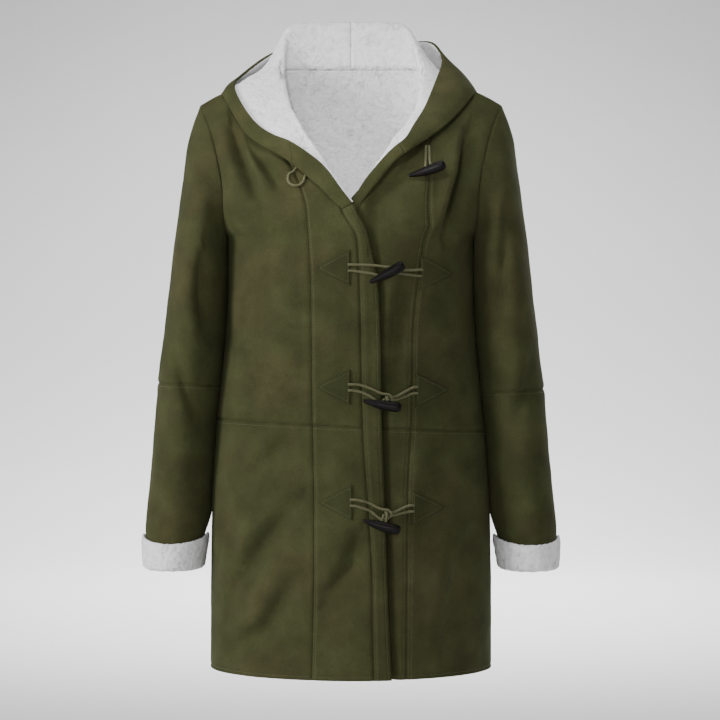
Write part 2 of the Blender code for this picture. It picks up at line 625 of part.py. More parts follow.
def make_fronts(collection):
    lower, upper = lower_rows(), upper_rows()
    placket = [row for row in lower + upper[1:] if row <= V_ROW]
    for side, label, princess in ((-1, "right", RIGHT_PRINCESS), (1, "left", LEFT_PRINCESS)):
        def side_columns(row, side=side, princess=princess):
            return steps_between(0.0, seam_u(princess, side, row), 8)

        def centre_columns(row, side=side, princess=princess):
            return steps_between(seam_u(princess, side, row), centre_u(side, row), 4 if side < 0 else 5)

        for part, rows in (("lower", lower), ("upper", upper)):
            body_panel(f"{label}_front_side_{part}", "front", side, rows, side_columns, collection)
            body_panel(f"{label}_front_centre_{part}", "front", side, rows, centre_columns, collection)

    def placket_columns(row):
        return steps_between(seam_u(PLACKET_SEAM, -1, row), seam_u(LAP_EDGE, -1, row), 2)

    body_panel("right_placket", "front", -1, placket, placket_columns, collection, sides=(True, False))


def make_back(collection):
    """Each half is a run of columns; the two halves join at the centre back into one panel."""
    columns = steps_between(0.0, 0.5, 3) + steps_between(0.5, 1.0, 8)[1:]
    for part, rows in (("lower", lower_rows()), ("upper", upper_rows())):
        outer, inner = [], []
        for row in rows:
            outer_line, inner_line = [], []
            for side, run in ((-1, columns), (1, columns[-2::-1])):
                for u in run:
                    point = body_point("back", side, row, u)
                    thickness = rim_thickness("back", side, row, u)
                    if u > 1.0 - 1e-6:
                        thickness = Vector((0.0, thickness.y, thickness.z)).normalized() * WALL
                    outer_line.append(point)
                    inner_line.append(point - thickness)
            outer.append(outer_line)
            inner.append(inner_line)
        name = "back_" + part
        SKINS.append((outer, name))
        wall(name, outer, inner, False, "suede", collection, ends=(part == "upper", True))


def make_sleeves(collection):
    angles = steps_between(0.0, 360.0, SLEEVE_SIDES)[:-1]
    for side, label in ((-1, "right"), (1, "left")):
        for part, low, high, count in (("upper", 0.0, ELBOW, 11), ("lower", ELBOW, WRIST, 7)):
            outer, inner = [], []
            for ring in steps_between(low, high, count):
                outer.append([sleeve_point(side, ring, angle) for angle in angles])
                inner.append([
                    sleeve_point(side, ring, angle) - sleeve_thickness(side, ring, angle) for angle in angles
                ])
            SKINS.append((outer + [outer[-1]], f"{label}_sleeve_{part}"))
            wall(f"{label}_sleeve_{part}", outer, inner, True, "suede", collection,
                 ends=(True, part == "upper"))


def make_cuffs(collection):
    """The turned-back end of each sleeve: a band round it whose lip passes under the sleeve's edge."""
    profile = [
        # ring, distance out from the sleeve, drop below the ring
        (10.12, CUFF_CLEAR, 0.0),
        (10.5, CUFF_CLEAR, 0.0),
        (11.0, CUFF_CLEAR, 0.35),
        (11.0, -WALL, 0.35),
        (11.0, -WALL, CUFF_WALL * 0.7),
        (11.0, 0.0, CUFF_WALL),
        (11.0, CUFF_CLEAR + CUFF_WALL * 0.8, CUFF_WALL * 0.4),
        (10.5, CUFF_CLEAR + CUFF_WALL * 1.1, 0.0),
        (10.12, CUFF_CLEAR + CUFF_WALL * 1.1, 0.0),
    ]
    angles = steps_between(0.0, 360.0, SLEEVE_SIDES)[:-1]
    for side, label in ((-1, "right"), (1, "left")):
        points, faces = [], []
        for angle in angles:
            for ring, out, drop in profile:
                point = sleeve_surface(side, ring, angle) + out * sleeve_plain_normal(side, ring, angle)
                points.append(point - Vector((0.0, 0.0, drop)))
        width = len(profile)
        for s in range(SLEEVE_SIDES):
            for p in range(width):
                a, b = s * width + p, s * width + (p + 1) % width
                after = ((s + 1) % SLEEVE_SIDES) * width
                face = (a, b, after + (p + 1) % width, after + p)
                faces.append(face if side > 0 else face[::-1])
        mesh_object(f"{label}_cuff", points, faces, "fleece", collection)


def body_tree(*sides):
    """The outer surface that things are laid on: the pieces whose names start with one of these."""
    points, faces = [], []
    for grid in [grid for grid, name in SKINS if name.startswith(sides)]:
        start, width = len(points), len(grid[0])
        for row in grid:
            points.extend(row)
        for r in range(len(grid) - 1):
            for c in range(width - 1):
                a = start + r * width + c
                faces.extend(split_quad(points, (a, a + 1, a + width + 1, a + width)))
    return BVHTree.FromPolygons([tuple(point) for point in points], faces)


def neck_point(side, station):
    if station >= 4.0:
        return back_top(side, 0.5 + (station - 4.0) / 8.0)
    row = V_ROW + station
    return body_point("front", side, row, centre_u(side, row))


def neck_body_normal(side, station):
    if station >= 4.0:
        return edge_thickness("back", side, SHOULDER, 0.5 + (station - 4.0) / 8.0).normalized()
    row = V_ROW + station
    return edge_thickness("front", side, row, centre_u(side, row)).normalized()


def stand_normal(side, station):
    """Outward normal of the strip between the neckline and the hood's ridge."""
    rows = HOOD_ROWS[side]
    low, high = max(station - 0.1, rows[0][0]), min(station + 0.1, HOOD_END)
    along = neck_point(side, high) - neck_point(side, low)
    ridge = Vector(read_station(rows, station)[1:4])
    rise = Vector((side * ridge.x, ridge.y, ridge.z)) - neck_point(side, station)
    return (along.cross(rise) * side).normalized()


def neck_thickness(side, station):
    """Mitre between the body and the strip that stands up from it."""
    mitre = neck_body_normal(side, station) + stand_normal(side, station)
    if station > HOOD_END - 1e-6:
        mitre.x = 0.0
    return mitre.normalized() * WALL


def rim_thickness(face, side, row, u):
    """Thickness of the body's wall, with the mitre along the neckline."""
    if face == "front" and row > V_ROW + 0.49 and u > centre_u(side, row) - 1e-6:
        return neck_thickness(side, row - V_ROW)
    if face == "back" and row > SHOULDER - 1e-6 and u > 0.5 - 1e-6:
        return neck_thickness(side, 4.0 + 8.0 * (u - 0.5))
    return edge_thickness(face, side, row, u)


def body_normal(tree, point):
    """The nearest place on the body, and the direction that points out of it there."""
    place, normal, _, _ = tree.find_nearest(point)
    axis = Vector((0.0, 5.0, min(point.z - 60.0, -90.0)))
    if normal.dot(place - axis) < 0.0:
        normal = -normal
    return place, normal


def lifted(tree, point, height):
    """The point itself, or moved out to at least this height over the body."""
    place, normal = body_normal(tree, point)
    return point + normal * max(height - (point - place).dot(normal), 0.0)


def off_layer(point, layer, out, distance):
    """The point itself, or moved out to at least this distance over the layer of the roll below it."""
    best = None
    for start, end in zip(layer, layer[1:]):
        line = end - start
        share = min(max((point - start).dot(line) / line.length_squared, 0.0), 1.0)
        foot = start + share * line
        if best is None or (point - foot).length < (point - best).length:
            best = foot
    return point + out * max(distance - (point - best).dot(out), 0.0)


def hood_table_points(side, station):
    """Ridge, halfway point, bottom and edge at one station, straight from the table."""
    row = read_station(HOOD_ROWS[side], station)
    ridge, bottom, edge = (Vector((side * row[i], row[i + 1], row[i + 2])) for i in (1, 4, 7))
    return ridge, ridge.lerp(bottom, 0.5) + Vector((0.0, 0.0, row[10])), bottom, edge


def hood_section(tree, side, station):
    """Suede-side points of the roll at one station, from the neckline to the free edge."""
    rows = HOOD_ROWS[side]
    ridge, between, bottom, edge = hood_table_points(side, station)
    before = hood_table_points(side, max(station - 0.2, rows[0][0]))[1]
    after = hood_table_points(side, min(station + 0.2, HOOD_END))[1]
    square = ((bottom - ridge).cross(after - before) * side).normalized()
    out = body_normal(tree, bottom)[1].lerp(square, smoothstep(station - HOOD_START - 0.5)).normalized()
    between = lifted(tree, between, NEAR_CLEAR)
    bend = bottom + (between - bottom).normalized() * ROLL_BEND / 2.0
    foot = bend - out * ROLL_BEND / 2.0
    rise = lifted(tree, foot, NEAR_CLEAR) - foot
    foot, turn, heel = foot + rise, bottom + rise, bend + out * ROLL_BEND / 2.0 + rise
    neck = neck_point(side, station)
    near = curve_through([neck, ridge, between, foot], ROLL_STEPS[0:3])
    near_count = sum(ROLL_STEPS[0:3])
    for index in range(ROLL_STEPS[0] + 1, near_count):
        near[index] = lifted(tree, near[index], NEAR_CLEAR)
    belly = read_station(rows, station)[11]
    outside = off_layer(heel.lerp(edge, 0.5) + out * belly, near[2:], out, ROLL_BEND)
    edge = off_layer(edge, near[2:], out, ROLL_BEND)
    far = curve_through([neck, ridge, between, foot, turn, heel, outside, edge], ROLL_STEPS)
    section = near[:near_count] + far[near_count:]
    if station > HOOD_END - 1e-6:
        section = [Vector((0.0, point.y, point.z)) for point in section]
    return section


def make_hood(collection):
    """Two hood halves and the turned edge below each, all one sweep along the neckline."""
    for side, label in ((-1, "right"), (1, "left")):
        tree = body_tree(label, "back")
        first = HOOD_ROWS[side][0][0]
        stations = steps_between(first, HOOD_START, int((HOOD_START - first) / 0.5 + 0.5))
        pieces = (
            (f"{label}_neck_band", stations, (False, True)),
            (f"{label}_hood", steps_between(HOOD_START, HOOD_END, 12), (True, True)),
        )
        for name, piece_stations, ends in pieces:
            outer, inner = [], []
            for station in piece_stations:
                section = hood_section(tree, side, station)
                step = 0.05
                before = hood_section(tree, side, max(station - step, first))
                after = hood_section(tree, side, min(station + step, HOOD_END))
                outer_line, inner_line = [], []
                for index, point in enumerate(section):
                    low, high = max(index - 1, 0), min(index + 1, len(section) - 1)
                    along = section[high] - section[low]
                    thickness = ((after[index] - before[index]).cross(along) * side).normalized() * WALL
                    if station > HOOD_END - 1e-6:
                        thickness = Vector((0.0, thickness.y, thickness.z)).normalized() * WALL
                    if index == 0:
                        thickness = neck_thickness(side, station)
                    outer_line.append(point)
                    inner_line.append(point - thickness)
                outer.append(outer_line)
                inner.append(inner_line)
            wall(name, outer, inner, False, "suede", collection, ends=ends, sides=(True, False))


# ---------------------------------------------------------------- trims
def over_body(tree, x, z, height):
    """A point at this height in front of the visible body surface."""
    place, normal, _, _ = tree.ray_cast(Vector((x, -400.0, z)), Vector((0.0, 1.0, 0.0)))
    if normal.y > 0.0:
        normal = -normal
    return place + normal * height


def make_patch(tree, name, x, z, side, collection):
    """A pointed patch: its straight side at x, its point away from the front edge."""
    along = [0.0, 0.2, 0.4, 0.6, 0.8, 0.95]
    outer, inner = [], []
    for share in along:
        half = PATCH_HEIGHT / 2.0 * (1.0 - share) ** 0.9
        outer_line, inner_line = [], []
        for height in steps_between(-half, half, 4):
            place = x + side * PATCH_LENGTH * share
            outer_line.append(over_body(tree, place, z + height, PATCH_CLEAR + PATCH_WALL))
            inner_line.append(over_body(tree, place, z + height, PATCH_CLEAR))
        outer.append(outer_line)
        inner.append(inner_line)
    wall(name, outer, inner, False, "suede", collection, ends=(False, False), sides=(False, False))


def make_cord(name, path, collection):
    curve = bpy.data.curves.new(name, "CURVE")
    curve.dimensions = "3D"
    line = curve.splines.new("POLY")
    line.points.add(len(path) - 1)
    for index, point in enumerate(path):
        line.points[index].co = (*(point * MM), 1.0)
    curve.bevel_depth = CORD_RADIUS * MM
    curve.bevel_resolution = 2
    curve.use_fill_caps = True
    return add_object(name, curve, "cord", collection)


def toggle_axis(tilt):
    return Vector((math.cos(math.radians(tilt)), 0.0, math.sin(math.radians(tilt))))


def add_cutter(name, start, end, cutters):
    line = (end - start) * MM
    bpy.ops.mesh.primitive_cylinder_add(vertices=10, radius=TOGGLE_HOLE_RADIUS * MM, depth=line.length,
                                        location=(start + end) * MM / 2.0)
    cutter = bpy.context.active_object
    cutter.name = name
    cutter.rotation_euler = line.to_track_quat("Z", "Y").to_euler()
    cutter.hide_render = True
    cutter.display_type = "WIRE"
    for holder in list(cutter.users_collection):
        holder.objects.unlink(cutter)
    cutters.objects.link(cutter)
    return cutter


def make_toggle(name, centre, tilt, collection, cutters):
    """A turned horn. Two holes from the back meet a short channel on the axis, where the cord turns."""
    mesh = bpy.data.meshes.new(name)
    profile = [(radius * MM, 0.0, -place * MM) for place, radius in TOGGLE_PROFILE]
    mesh.from_pydata(profile, [(i, i + 1) for i in range(len(profile) - 1)], [])
    toggle = add_object(name, mesh, "horn", collection)
    toggle.location = centre * MM
    # the profile's axis is Z; its thick end, at -Z, is turned to +X and then up by the tilt
    toggle.rotation_euler = (0.0, math.radians(-90.0 - tilt), 0.0)
    screw = toggle.modifiers.new("turn", "SCREW")
    screw.axis = "Z"
    screw.steps = TOGGLE_SIDES
    screw.render_steps = TOGGLE_SIDES
    screw.use_merge_vertices = True
    screw.merge_threshold = 0.0001
    reach = toggle_axis(tilt) * TOGGLE_HOLE_REACH
    deep = Vector((0.0, -TOGGLE_HOLE_RADIUS - 0.3, 0.0))
    back = Vector((0.0, 10.0, 0.0))
    runs = (
        ("left_hole", centre + reach + deep, centre + reach + back),
        ("right_hole", centre - reach + deep, centre - reach + back),
        ("channel", centre - reach, centre + reach),
    )
    for label, start, end in runs:
        hole = toggle.modifiers.new(label, "BOOLEAN")
        hole.operation = "DIFFERENCE"
        hole.object = add_cutter(f"{name}_{label}", start, end, cutters)
    return toggle


def inside_toggle(centre, tilt):
    """The cord's path from the left hole through the channel to the right hole."""
    axis = toggle_axis(tilt)
    chamfer = 1.2
    stops = [
        # along the axis, behind it
        (TOGGLE_HOLE_REACH, 5.0),
        (TOGGLE_HOLE_REACH, chamfer),
        (TOGGLE_HOLE_REACH - chamfer, 0.0),
        (chamfer - TOGGLE_HOLE_REACH, 0.0),
        (-TOGGLE_HOLE_REACH, chamfer),
        (-TOGGLE_HOLE_REACH, 5.0),
    ]
    return [centre + along * axis + Vector((0.0, behind, 0.0)) for along, behind in stops]


def strand_to_toggle(start, centre, tilt, sign, drop):
    """One strand that rises from start to its hole in the toggle's back, turning round its neighbour."""
    axis = toggle_axis(tilt)
    across = Vector((0.0, 0.0, 1.0))
    stops = [
        # share of the way to the toggle, how far behind its axis, turn of the pair, half spacing
        (0.0, drop, 0.0, STRAND_HALF),
        (0.0, 12.2, 0.5, STRAND_HALF),
        (0.15, 8.8, 1.0, STRAND_HALF),
        (0.6, 8.5, 1.0, STRAND_HALF + 0.8),
        (0.95, 7.9, 1.0, TOGGLE_HOLE_REACH - 0.1),
    ]
    path = []
    for share, behind, turned, half in stops:
        point = start.lerp(centre, share)
        offset = across.lerp(axis, turned).normalized() * half * sign
        path.append(Vector((point.x, centre.y + behind, point.z)) + offset)
    return path


def make_closures(tree, collection, cutters):
    base = CORD_RADIUS + CORD_CLEAR

    def on_cloth(x, z):
        return over_body(tree, x, z, base)

    for number, row in enumerate(CLOSURES, start=1):
        right_x, right_z, left_x, left_z, eye_x, eye_z, toggle_x, toggle_z, tilt = row
        make_patch(tree, f"right_patch_{number}", right_x - 1.0, right_z, -1, collection)
        make_patch(tree, f"left_patch_{number}", left_x + 1.0, left_z, 1, collection)

        # the loop sags from its patch to the eye; it stays level from the lapping edge on and closes
        # round the strands that hold the toggle
        level = on_cloth(26.0, eye_z).y - 0.4

        def on_right(x, sign):
            share = (x - right_x) / (eye_x - right_x)
            spread = PATCH_STRANDS + (LOOP_HALF - PATCH_STRANDS) * share
            return on_cloth(x, right_z + (eye_z - right_z) * share ** 1.5 + sign * spread)

        loop = [
            on_right(right_x + 1.2, 1.0),
            on_right(right_x + 12.0, 1.0),
            on_right(eye_x - 19.0, 1.0),
            Vector((eye_x - 2.0, level, eye_z + LOOP_HALF)),
            Vector((eye_x + 6.0, level, eye_z + LOOP_HALF * 0.78)),
            Vector((eye_x + 9.3, level, eye_z)),
            Vector((eye_x + 6.0, level, eye_z - LOOP_HALF * 0.78)),
            Vector((eye_x - 2.0, level, eye_z - LOOP_HALF)),
            on_right(eye_x - 19.0, -1.0),
            on_right(right_x + 12.0, -1.0),
            on_right(right_x + 1.2, -1.0),
        ]
        make_cord(f"right_cord_{number}", curve_through(loop, 2), collection)

        centre = Vector((toggle_x, level - TOGGLE_HEIGHT, toggle_z))
        eye = Vector((eye_x + 2.0, level, eye_z))
        runs = []
        for sign in (1.0, -1.0):
            under = [
                on_cloth(left_x - 1.2, left_z + sign * PATCH_STRANDS),
                on_cloth(left_x - 10.0, left_z + (eye_z - left_z) * 0.34 + sign * PATCH_STRANDS * 0.85),
                Vector((eye_x + 11.0, level + CORD_LAYER, eye_z + sign * STRAND_HALF)),
            ]
            rising = strand_to_toggle(eye, centre, tilt, sign, TOGGLE_HEIGHT + 3.0)
            runs.append(curve_through(under + rising, 2))
        path = runs[0] + inside_toggle(centre, tilt) + runs[1][::-1]
        make_cord(f"left_cord_{number}", path, collection)
        make_toggle(f"toggle_{number}", centre, tilt, collection, cutters)


def make_neck_trims(tree, collection, cutters):
    base = CORD_RADIUS + CORD_CLEAR
    loop = [
        over_body(tree, -70.5, -127.0, base),
        over_body(tree, -75.5, -131.0, base),
        over_body(tree, -77.0, -138.5, base),
        over_body(tree, -72.0, -145.0, base),
        over_body(tree, -64.0, -145.5, base),
        over_body(tree, -58.0, -140.0, base),
        over_body(tree, -57.0, -133.5, base),
    ]
    make_cord("neck_loop", curve_through(loop, 2), collection)
    toggle = NECK_TOGGLE
    centre = over_body(tree, toggle["x"], toggle["z"], toggle["height"])
    top = over_body(tree, toggle["x"] + 1.5, toggle["z"] + 15.0, base + 0.5)
    runs = []
    for sign in (1.0, -1.0):
        side_step = Vector((sign * STRAND_HALF, 0.0, 0.0))
        hole = centre + toggle_axis(toggle["tilt"]) * TOGGLE_HOLE_REACH * sign
        hung = [
            over_body(tree, toggle["x"] + 3.0, -101.0, base + 0.5) + side_step,
            top + side_step * 1.4,
            hole + Vector((0.0, 9.0, 5.0)),
            hole + Vector((0.0, 8.4, 0.3)),
        ]
        runs.append(curve_through(hung, 2))
    path = runs[0] + inside_toggle(centre, toggle["tilt"]) + runs[1][::-1]
    make_cord("neck_cord", path, collection)
    make_toggle("neck_toggle", centre, toggle["tilt"], collection, cutters)


# ---------------------------------------------------------------- assembly
def main():
    for item in list(bpy.data.objects):
        bpy.data.objects.remove(item, do_unlink=True)
    jacket = bpy.data.collections.new("hooded_duffle_jacket")
    cutters = bpy.data.collections.new("cutters")
    bpy.context.scene.collection.children.link(jacket)
    bpy.context.scene.collection.children.link(cutters)
    make_fronts(jacket)
    make_back(jacket)
    make_sleeves(jacket)
    make_cuffs(jacket)
    make_hood(jacket)
    tree = body_tree("right", "left", "back")
    make_closures(tree, jacket, cutters)
    make_neck_trims(tree, jacket, cutters)


main()
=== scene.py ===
# Hooded duffle jacket in bonded faux suede and sherpa fleece, worn form, hood down.
# +X is the wearer's left, -Y the front. Tables are in millimetres, meshes in metres.
import math
from functools import lru_cache

import bpy
import numpy as np
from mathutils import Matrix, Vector, noise
from mathutils.bvhtree import BVHTree


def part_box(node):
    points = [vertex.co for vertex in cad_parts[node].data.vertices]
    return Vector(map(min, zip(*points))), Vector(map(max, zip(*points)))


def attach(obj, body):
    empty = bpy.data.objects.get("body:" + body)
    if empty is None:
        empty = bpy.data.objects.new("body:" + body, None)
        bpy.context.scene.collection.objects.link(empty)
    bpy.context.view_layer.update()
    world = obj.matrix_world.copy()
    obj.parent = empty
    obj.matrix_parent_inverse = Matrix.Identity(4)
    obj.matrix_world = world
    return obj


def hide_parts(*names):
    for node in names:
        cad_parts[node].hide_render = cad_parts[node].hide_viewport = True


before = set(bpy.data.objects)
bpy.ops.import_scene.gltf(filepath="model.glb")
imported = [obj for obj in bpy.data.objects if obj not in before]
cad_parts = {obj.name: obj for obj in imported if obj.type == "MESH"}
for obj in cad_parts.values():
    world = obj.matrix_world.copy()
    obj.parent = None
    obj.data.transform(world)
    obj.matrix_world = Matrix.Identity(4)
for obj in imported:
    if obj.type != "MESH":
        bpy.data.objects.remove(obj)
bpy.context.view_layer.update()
mm = 0.001

cloth = {
    "wall": 3.0,            # suede face and fleece back together
    "pileSize": 5.0,        # one curl of the fleece
    "backPile": 1.2,        # its height inside the upper back, where it shows
    "grid": 5.0,            # spacing of the cloth's grid
    "frontGrid": {-1: 0.7, 1: 0.6},     # share of it across the right and the left front
    "widths": {"side": 150.0, "centre": 80.0, "back": 210.0},
    "seamLines": (0.0, 0.8, 1.8, 3.1, 4.3, 5.4, 6.8, 9.0),     # grid lines beside a seam
    "seamDepth": 1.4,       # how far a seam pulls in
    "seamWidth": 1.9,
    "seamPuff": 0.5,        # the cloth stands up beside it
    "puffWidth": 6.0,
    "sideSeam": 0.3,        # share of that depth at a side seam
    "seamEnd": 15.0,        # length over which a seam runs out
    "waveSize": 42.0,
    "waveDepth": 0.7,
    "rippleSize": 0.4,      # a finer wave on the slow one, as shares of it
    "rippleDepth": 0.45,
    "calmWidth": 12.0,      # waves fade out this near to an edge that meets another piece
    "foldDepth": 1.9,       # folds are this much deeper than in the plain solids
    "foldSteep": 0.66,      # width of a fold's two sides, against its half width
    "foldGentle": 1.5,
    "foldRidge": 0.34,      # height of the ridge beyond the steep side
    "foldFromSide": 0.2,    # share of the width over which folds start at the side seam
    "foldFromShoulder": 1.5,            # rows over which they start below the shoulder
    "creaseEnd": 0.14,      # share of the width over which creases end at the neckline
    "armholePuff": 1.5,
    "armholeWidth": 14.0,
    "stitchColumn": 4,      # grid line beside a seam that carries its topstitching
    "stitchDip": 0.6,
    "lapRise": 4.4,
    "lapStart": -60.0,
    "lapFull": -13.0,
    "gapDepth": 11.0,       # the left front sinks beside the edge that laps over it
    "gapWidth": 5.0,
    "gapPast": 1.5,         # its deepest line, past that edge
    "shoulderWall": 1.25,   # the wall's length along the slant of the shoulder seam
    "shoulderReach": 3.8,   # how far from that seam the wall's inside is turned in
    "mitreRows": 8,         # grid rows looked at for that
}
body = {
    "halfWaist": 172.0,
    "liftRows": 3.0,        # rows below the shoulder that the sleeve head pushes up
    "topBend": 1.6,         # how late the back bends to its neckline
    "hiddenEdgeX": -8.0,    # where the left front ends, under the right one
    "step": 0.02,           # rows or shares on each side of the point whose normal is taken
}
hemRow, waistRow, underarmRow, vRow, shoulderRow = 0, 5, 9, 11, 15

frontRows = [
    # outX, outY, outZ, inX, inY, inZ, round, tilt
    (180.5, 0.0, -755.0, 0.0, -131.0, -755.0, 1.0, 0.0),
    (180.5, 0.0, -690.0, 0.0, -129.0, -690.0, 1.0, 1.0),
    (180.0, 0.0, -620.0, 0.0, -127.0, -620.0, 1.0, 3.0),
    (178.5, 0.0, -540.0, 0.0, -123.0, -540.0, 1.0, 5.0),
    (175.5, 0.0, -488.0, 0.0, -119.0, -488.0, 1.0, 7.0),
    (172.0, 0.0, -443.5, 0.0, -117.0, -443.5, 1.0, 7.5),
    (166.0, 0.0, -385.0, 0.0, -119.0, -385.0, 1.0, 6.0),
    (160.5, 0.0, -325.0, 0.0, -124.0, -325.0, 1.0, 4.0),
    (158.0, 0.0, -265.0, 0.0, -130.0, -265.0, 1.0, 2.0),
    (158.0, 0.0, -212.0, 0.0, -130.0, -212.0, 1.0, 0.0),
    (159.5, -32.0, -195.0, 0.0, -127.0, -192.0, 0.98, 0.0),
    (160.5, -50.0, -170.0, 0.0, -121.0, -172.0, 0.95, 0.0),
    (162.5, -53.0, -139.0, 34.0, -104.0, -135.0, 0.80, 0.0),
    (169.0, -42.0, -107.0, 62.0, -78.0, -93.0, 0.60, 0.0),
    (181.0, -18.0, -66.0, 85.0, -33.0, -48.0, 0.40, 0.0),
    (195.0, 8.0, -35.0, 93.5, 10.0, -10.0, 0.0, 0.0),
]
backRows = [
    # outX, outY, outZ, inX, inY, inZ, round, tilt
    (180.5, 0.0, -755.0, 0.0, 121.0, -755.0, 1.0, 0.0),
    (180.5, 0.0, -690.0, 0.0, 121.0, -690.0, 1.0, 1.0),
    (180.0, 0.0, -620.0, 0.0, 119.0, -620.0, 1.0, 3.0),
    (178.5, 0.0, -540.0, 0.0, 115.0, -540.0, 1.0, 5.0),
    (175.5, 0.0, -488.0, 0.0, 110.0, -488.0, 1.0, 7.0),
    (172.0, 0.0, -443.5, 0.0, 105.0, -443.5, 1.0, 7.5),
    (166.0, 0.0, -385.0, 0.0, 101.0, -385.0, 1.0, 6.0),
    (160.5, 0.0, -325.0, 0.0, 103.0, -325.0, 1.0, 4.0),
    (158.0, 0.0, -265.0, 0.0, 109.0, -265.0, 1.0, 2.0),
    (158.0, 0.0, -212.0, 0.0, 113.0, -212.0, 1.0, 0.0),
    (161.0, 36.0, -195.0, 0.0, 114.0, -178.0, 0.98, 0.0),
    (166.0, 56.0, -170.0, 0.0, 113.0, -143.0, 0.92, 0.0),
    (172.0, 60.0, -139.0, 0.0, 108.0, -107.0, 0.85, 0.0),
    (178.0, 54.0, -107.0, 0.0, 100.0, -70.0, 0.75, 0.0),
    (187.0, 34.0, -66.0, 0.0, 84.0, -24.0, 0.60, 0.0),
    (195.0, 8.0, -35.0, 0.0, 62.0, 21.5, 0.40, 0.0),
]
backNeck = [
    # x, y, z from the neck point to the centre back
    (93.5, 10.0, -10.0),
    (93.5, 28.0, 4.0),
    (86.0, 50.0, 19.0),
    (50.0, 60.0, 21.5),
    (0.0, 62.0, 21.5),
]
seamRows = [
    # right princess, left princess, placket seam, lapping edge, as x at each front row
    (-47.7, 69.0, 28.4, 50.0),
    (-46.0, 69.5, 27.0, 46.5),
    (-45.0, 70.0, 26.3, 44.0),
    (-45.0, 70.5, 21.5, 41.5),
    (-46.0, 72.5, 17.6, 39.5),
    (-47.0, 75.5, 15.0, 38.0),
    (-48.0, 76.5, 13.4, 37.0),
    (-48.3, 78.0, 12.5, 35.5),
    (-49.0, 84.0, 10.8, 32.5),
    (-52.0, 92.0, 7.5, 22.0),
    (-53.5, 98.0, -2.5, 14.0),
    (-55.0, 97.0, -11.0, 3.0),
    (-66.0, 98.5, 0.0, 0.0),
    (-86.0, 99.0, 0.0, 0.0),
    (-104.0, 106.0, 0.0, 0.0),
    (-119.0, 119.0, 0.0, 0.0),
]
rightPrincess, leftPrincess, placketSeam, lapEdge = 0, 1, 2, 3
shoulderLift = [
    # share of the way from the shoulder point to the neck point, how far the sleeve head pushes it up
    (0.0, 3.0), (0.06, 5.5), (0.12, 8.0), (0.2, 10.5), (0.34, 13.5), (0.55, 8.0), (0.8, 0.5), (1.0, 0.0),
]

sleeveRings = [
    # outerX, outerZ, innerX, innerZ, frontY, backY
    (195.3, -35.0, 158.3, -212.0, -53.0, 60.0),
    (209.5, -74.0, 162.5, -227.0, -62.0, 72.0),
    (215.5, -116.0, 162.7, -246.0, -69.0, 79.0),
    (222.0, -166.0, 161.7, -263.0, -72.0, 82.0),
    (228.5, -218.0, 162.0, -283.0, -72.0, 82.0),
    (235.0, -278.0, 163.5, -313.0, -70.0, 80.0),
    (243.0, -344.0, 167.5, -358.0, -66.0, 76.0),
    (249.0, -394.0, 171.5, -398.0, -62.0, 72.0),
    (254.0, -455.0, 177.0, -456.0, -58.0, 68.0),
    (259.5, -520.0, 182.0, -518.0, -54.0, 62.0),
    (265.0, -583.0, 188.0, -580.0, -50.0, 56.0),
    (262.5, -624.0, 195.0, -624.0, -46.0, 50.0),
]
elbowRing, wristRing = 7, 11
sleeve = {
    "drop": {-1: 4.0, 1: -4.0},         # the right elbow seam sits higher, the left one lower
    "dropRings": 2.5,
    "gap": -0.6,            # the hanging sleeve rests against the body's side
    "hugFrom": -0.2,        # rings between which it does
    "hugTo": 9.4,
    "hugFadeIn": 0.9,
    "hugFadeOut": 0.8,
    "hugAngle": 55.0,
    "headRings": 4.0,       # rings over which it opens out to the armhole
    "foldRings": 2.0,       # and over which its folds start
    "columns": 76,
    "lengths": {"upper": 360.0, "lower": 228.0},
    "calmWidth": 14.0,      # waves fade out this near to the armhole
    "calmAngle": 45.0,      # and this far from the underside
    "seamAngle": 32.0,      # where the elbow seam fades out too
}

rightHoodRows = [
    # station, ridge x, y, z, bottom x, y, z, edge x, y, z, lift, belly
    (0.0, -3.5, -121.0, -167.0, 10.0, -125.5, -177.0, -3.0, -127.5, -168.5, 0.0, 0.3),
    (0.5, 13.0, -112.0, -144.0, 23.0, -124.0, -165.0, 15.0, -124.0, -145.5, 0.0, 0.8),
    (1.0, 31.0, -98.0, -121.0, 35.0, -119.0, -151.0, 33.5, -112.0, -119.0, 0.0, 1.0),
    (2.0, 57.0, -70.0, -82.0, 73.0, -101.0, -117.0, 75.0, -95.0, -88.0, 2.0, 2.0),
    (2.5, 68.0, -50.0, -62.0, 92.0, -93.0, -104.0, 90.0, -84.0, -82.0, 2.0, 2.0),
    (3.0, 79.0, -28.0, -40.0, 128.0, -68.0, -81.0, 118.5, -58.0, -66.0, 3.0, 2.0),
    (3.5, 85.0, -5.0, -18.0, 149.0, -38.0, -50.0, 139.0, -30.0, -38.0, 5.0, 2.0),
    (4.0, 88.0, 9.0, -2.0, 163.0, -6.0, -24.0, 150.0, -3.0, -13.0, 7.0, 3.0),
    (4.5, 90.5, 20.0, 6.0, 168.0, 14.0, -19.0, 151.0, 12.0, 0.0, 9.0, 3.0),
    (5.0, 90.0, 33.0, 20.0, 168.0, 36.0, -26.0, 144.0, 28.0, 11.0, 10.0, 5.0),
    (6.0, 88.0, 62.0, 60.0, 146.0, 80.0, -68.0, 117.0, 64.0, 38.0, 8.0, 13.0),
    (6.5, 79.0, 71.0, 77.0, 112.0, 116.0, -112.0, 90.0, 96.0, 56.0, 4.0, 20.0),
    (7.0, 58.0, 75.0, 82.0, 82.0, 132.0, -138.0, 62.0, 108.0, 60.0, 0.0, 25.0),
    (8.0, 0.0, 77.0, 83.0, 0.0, 143.0, -168.0, 0.0, 116.0, 62.0, 0.0, 28.0),
]
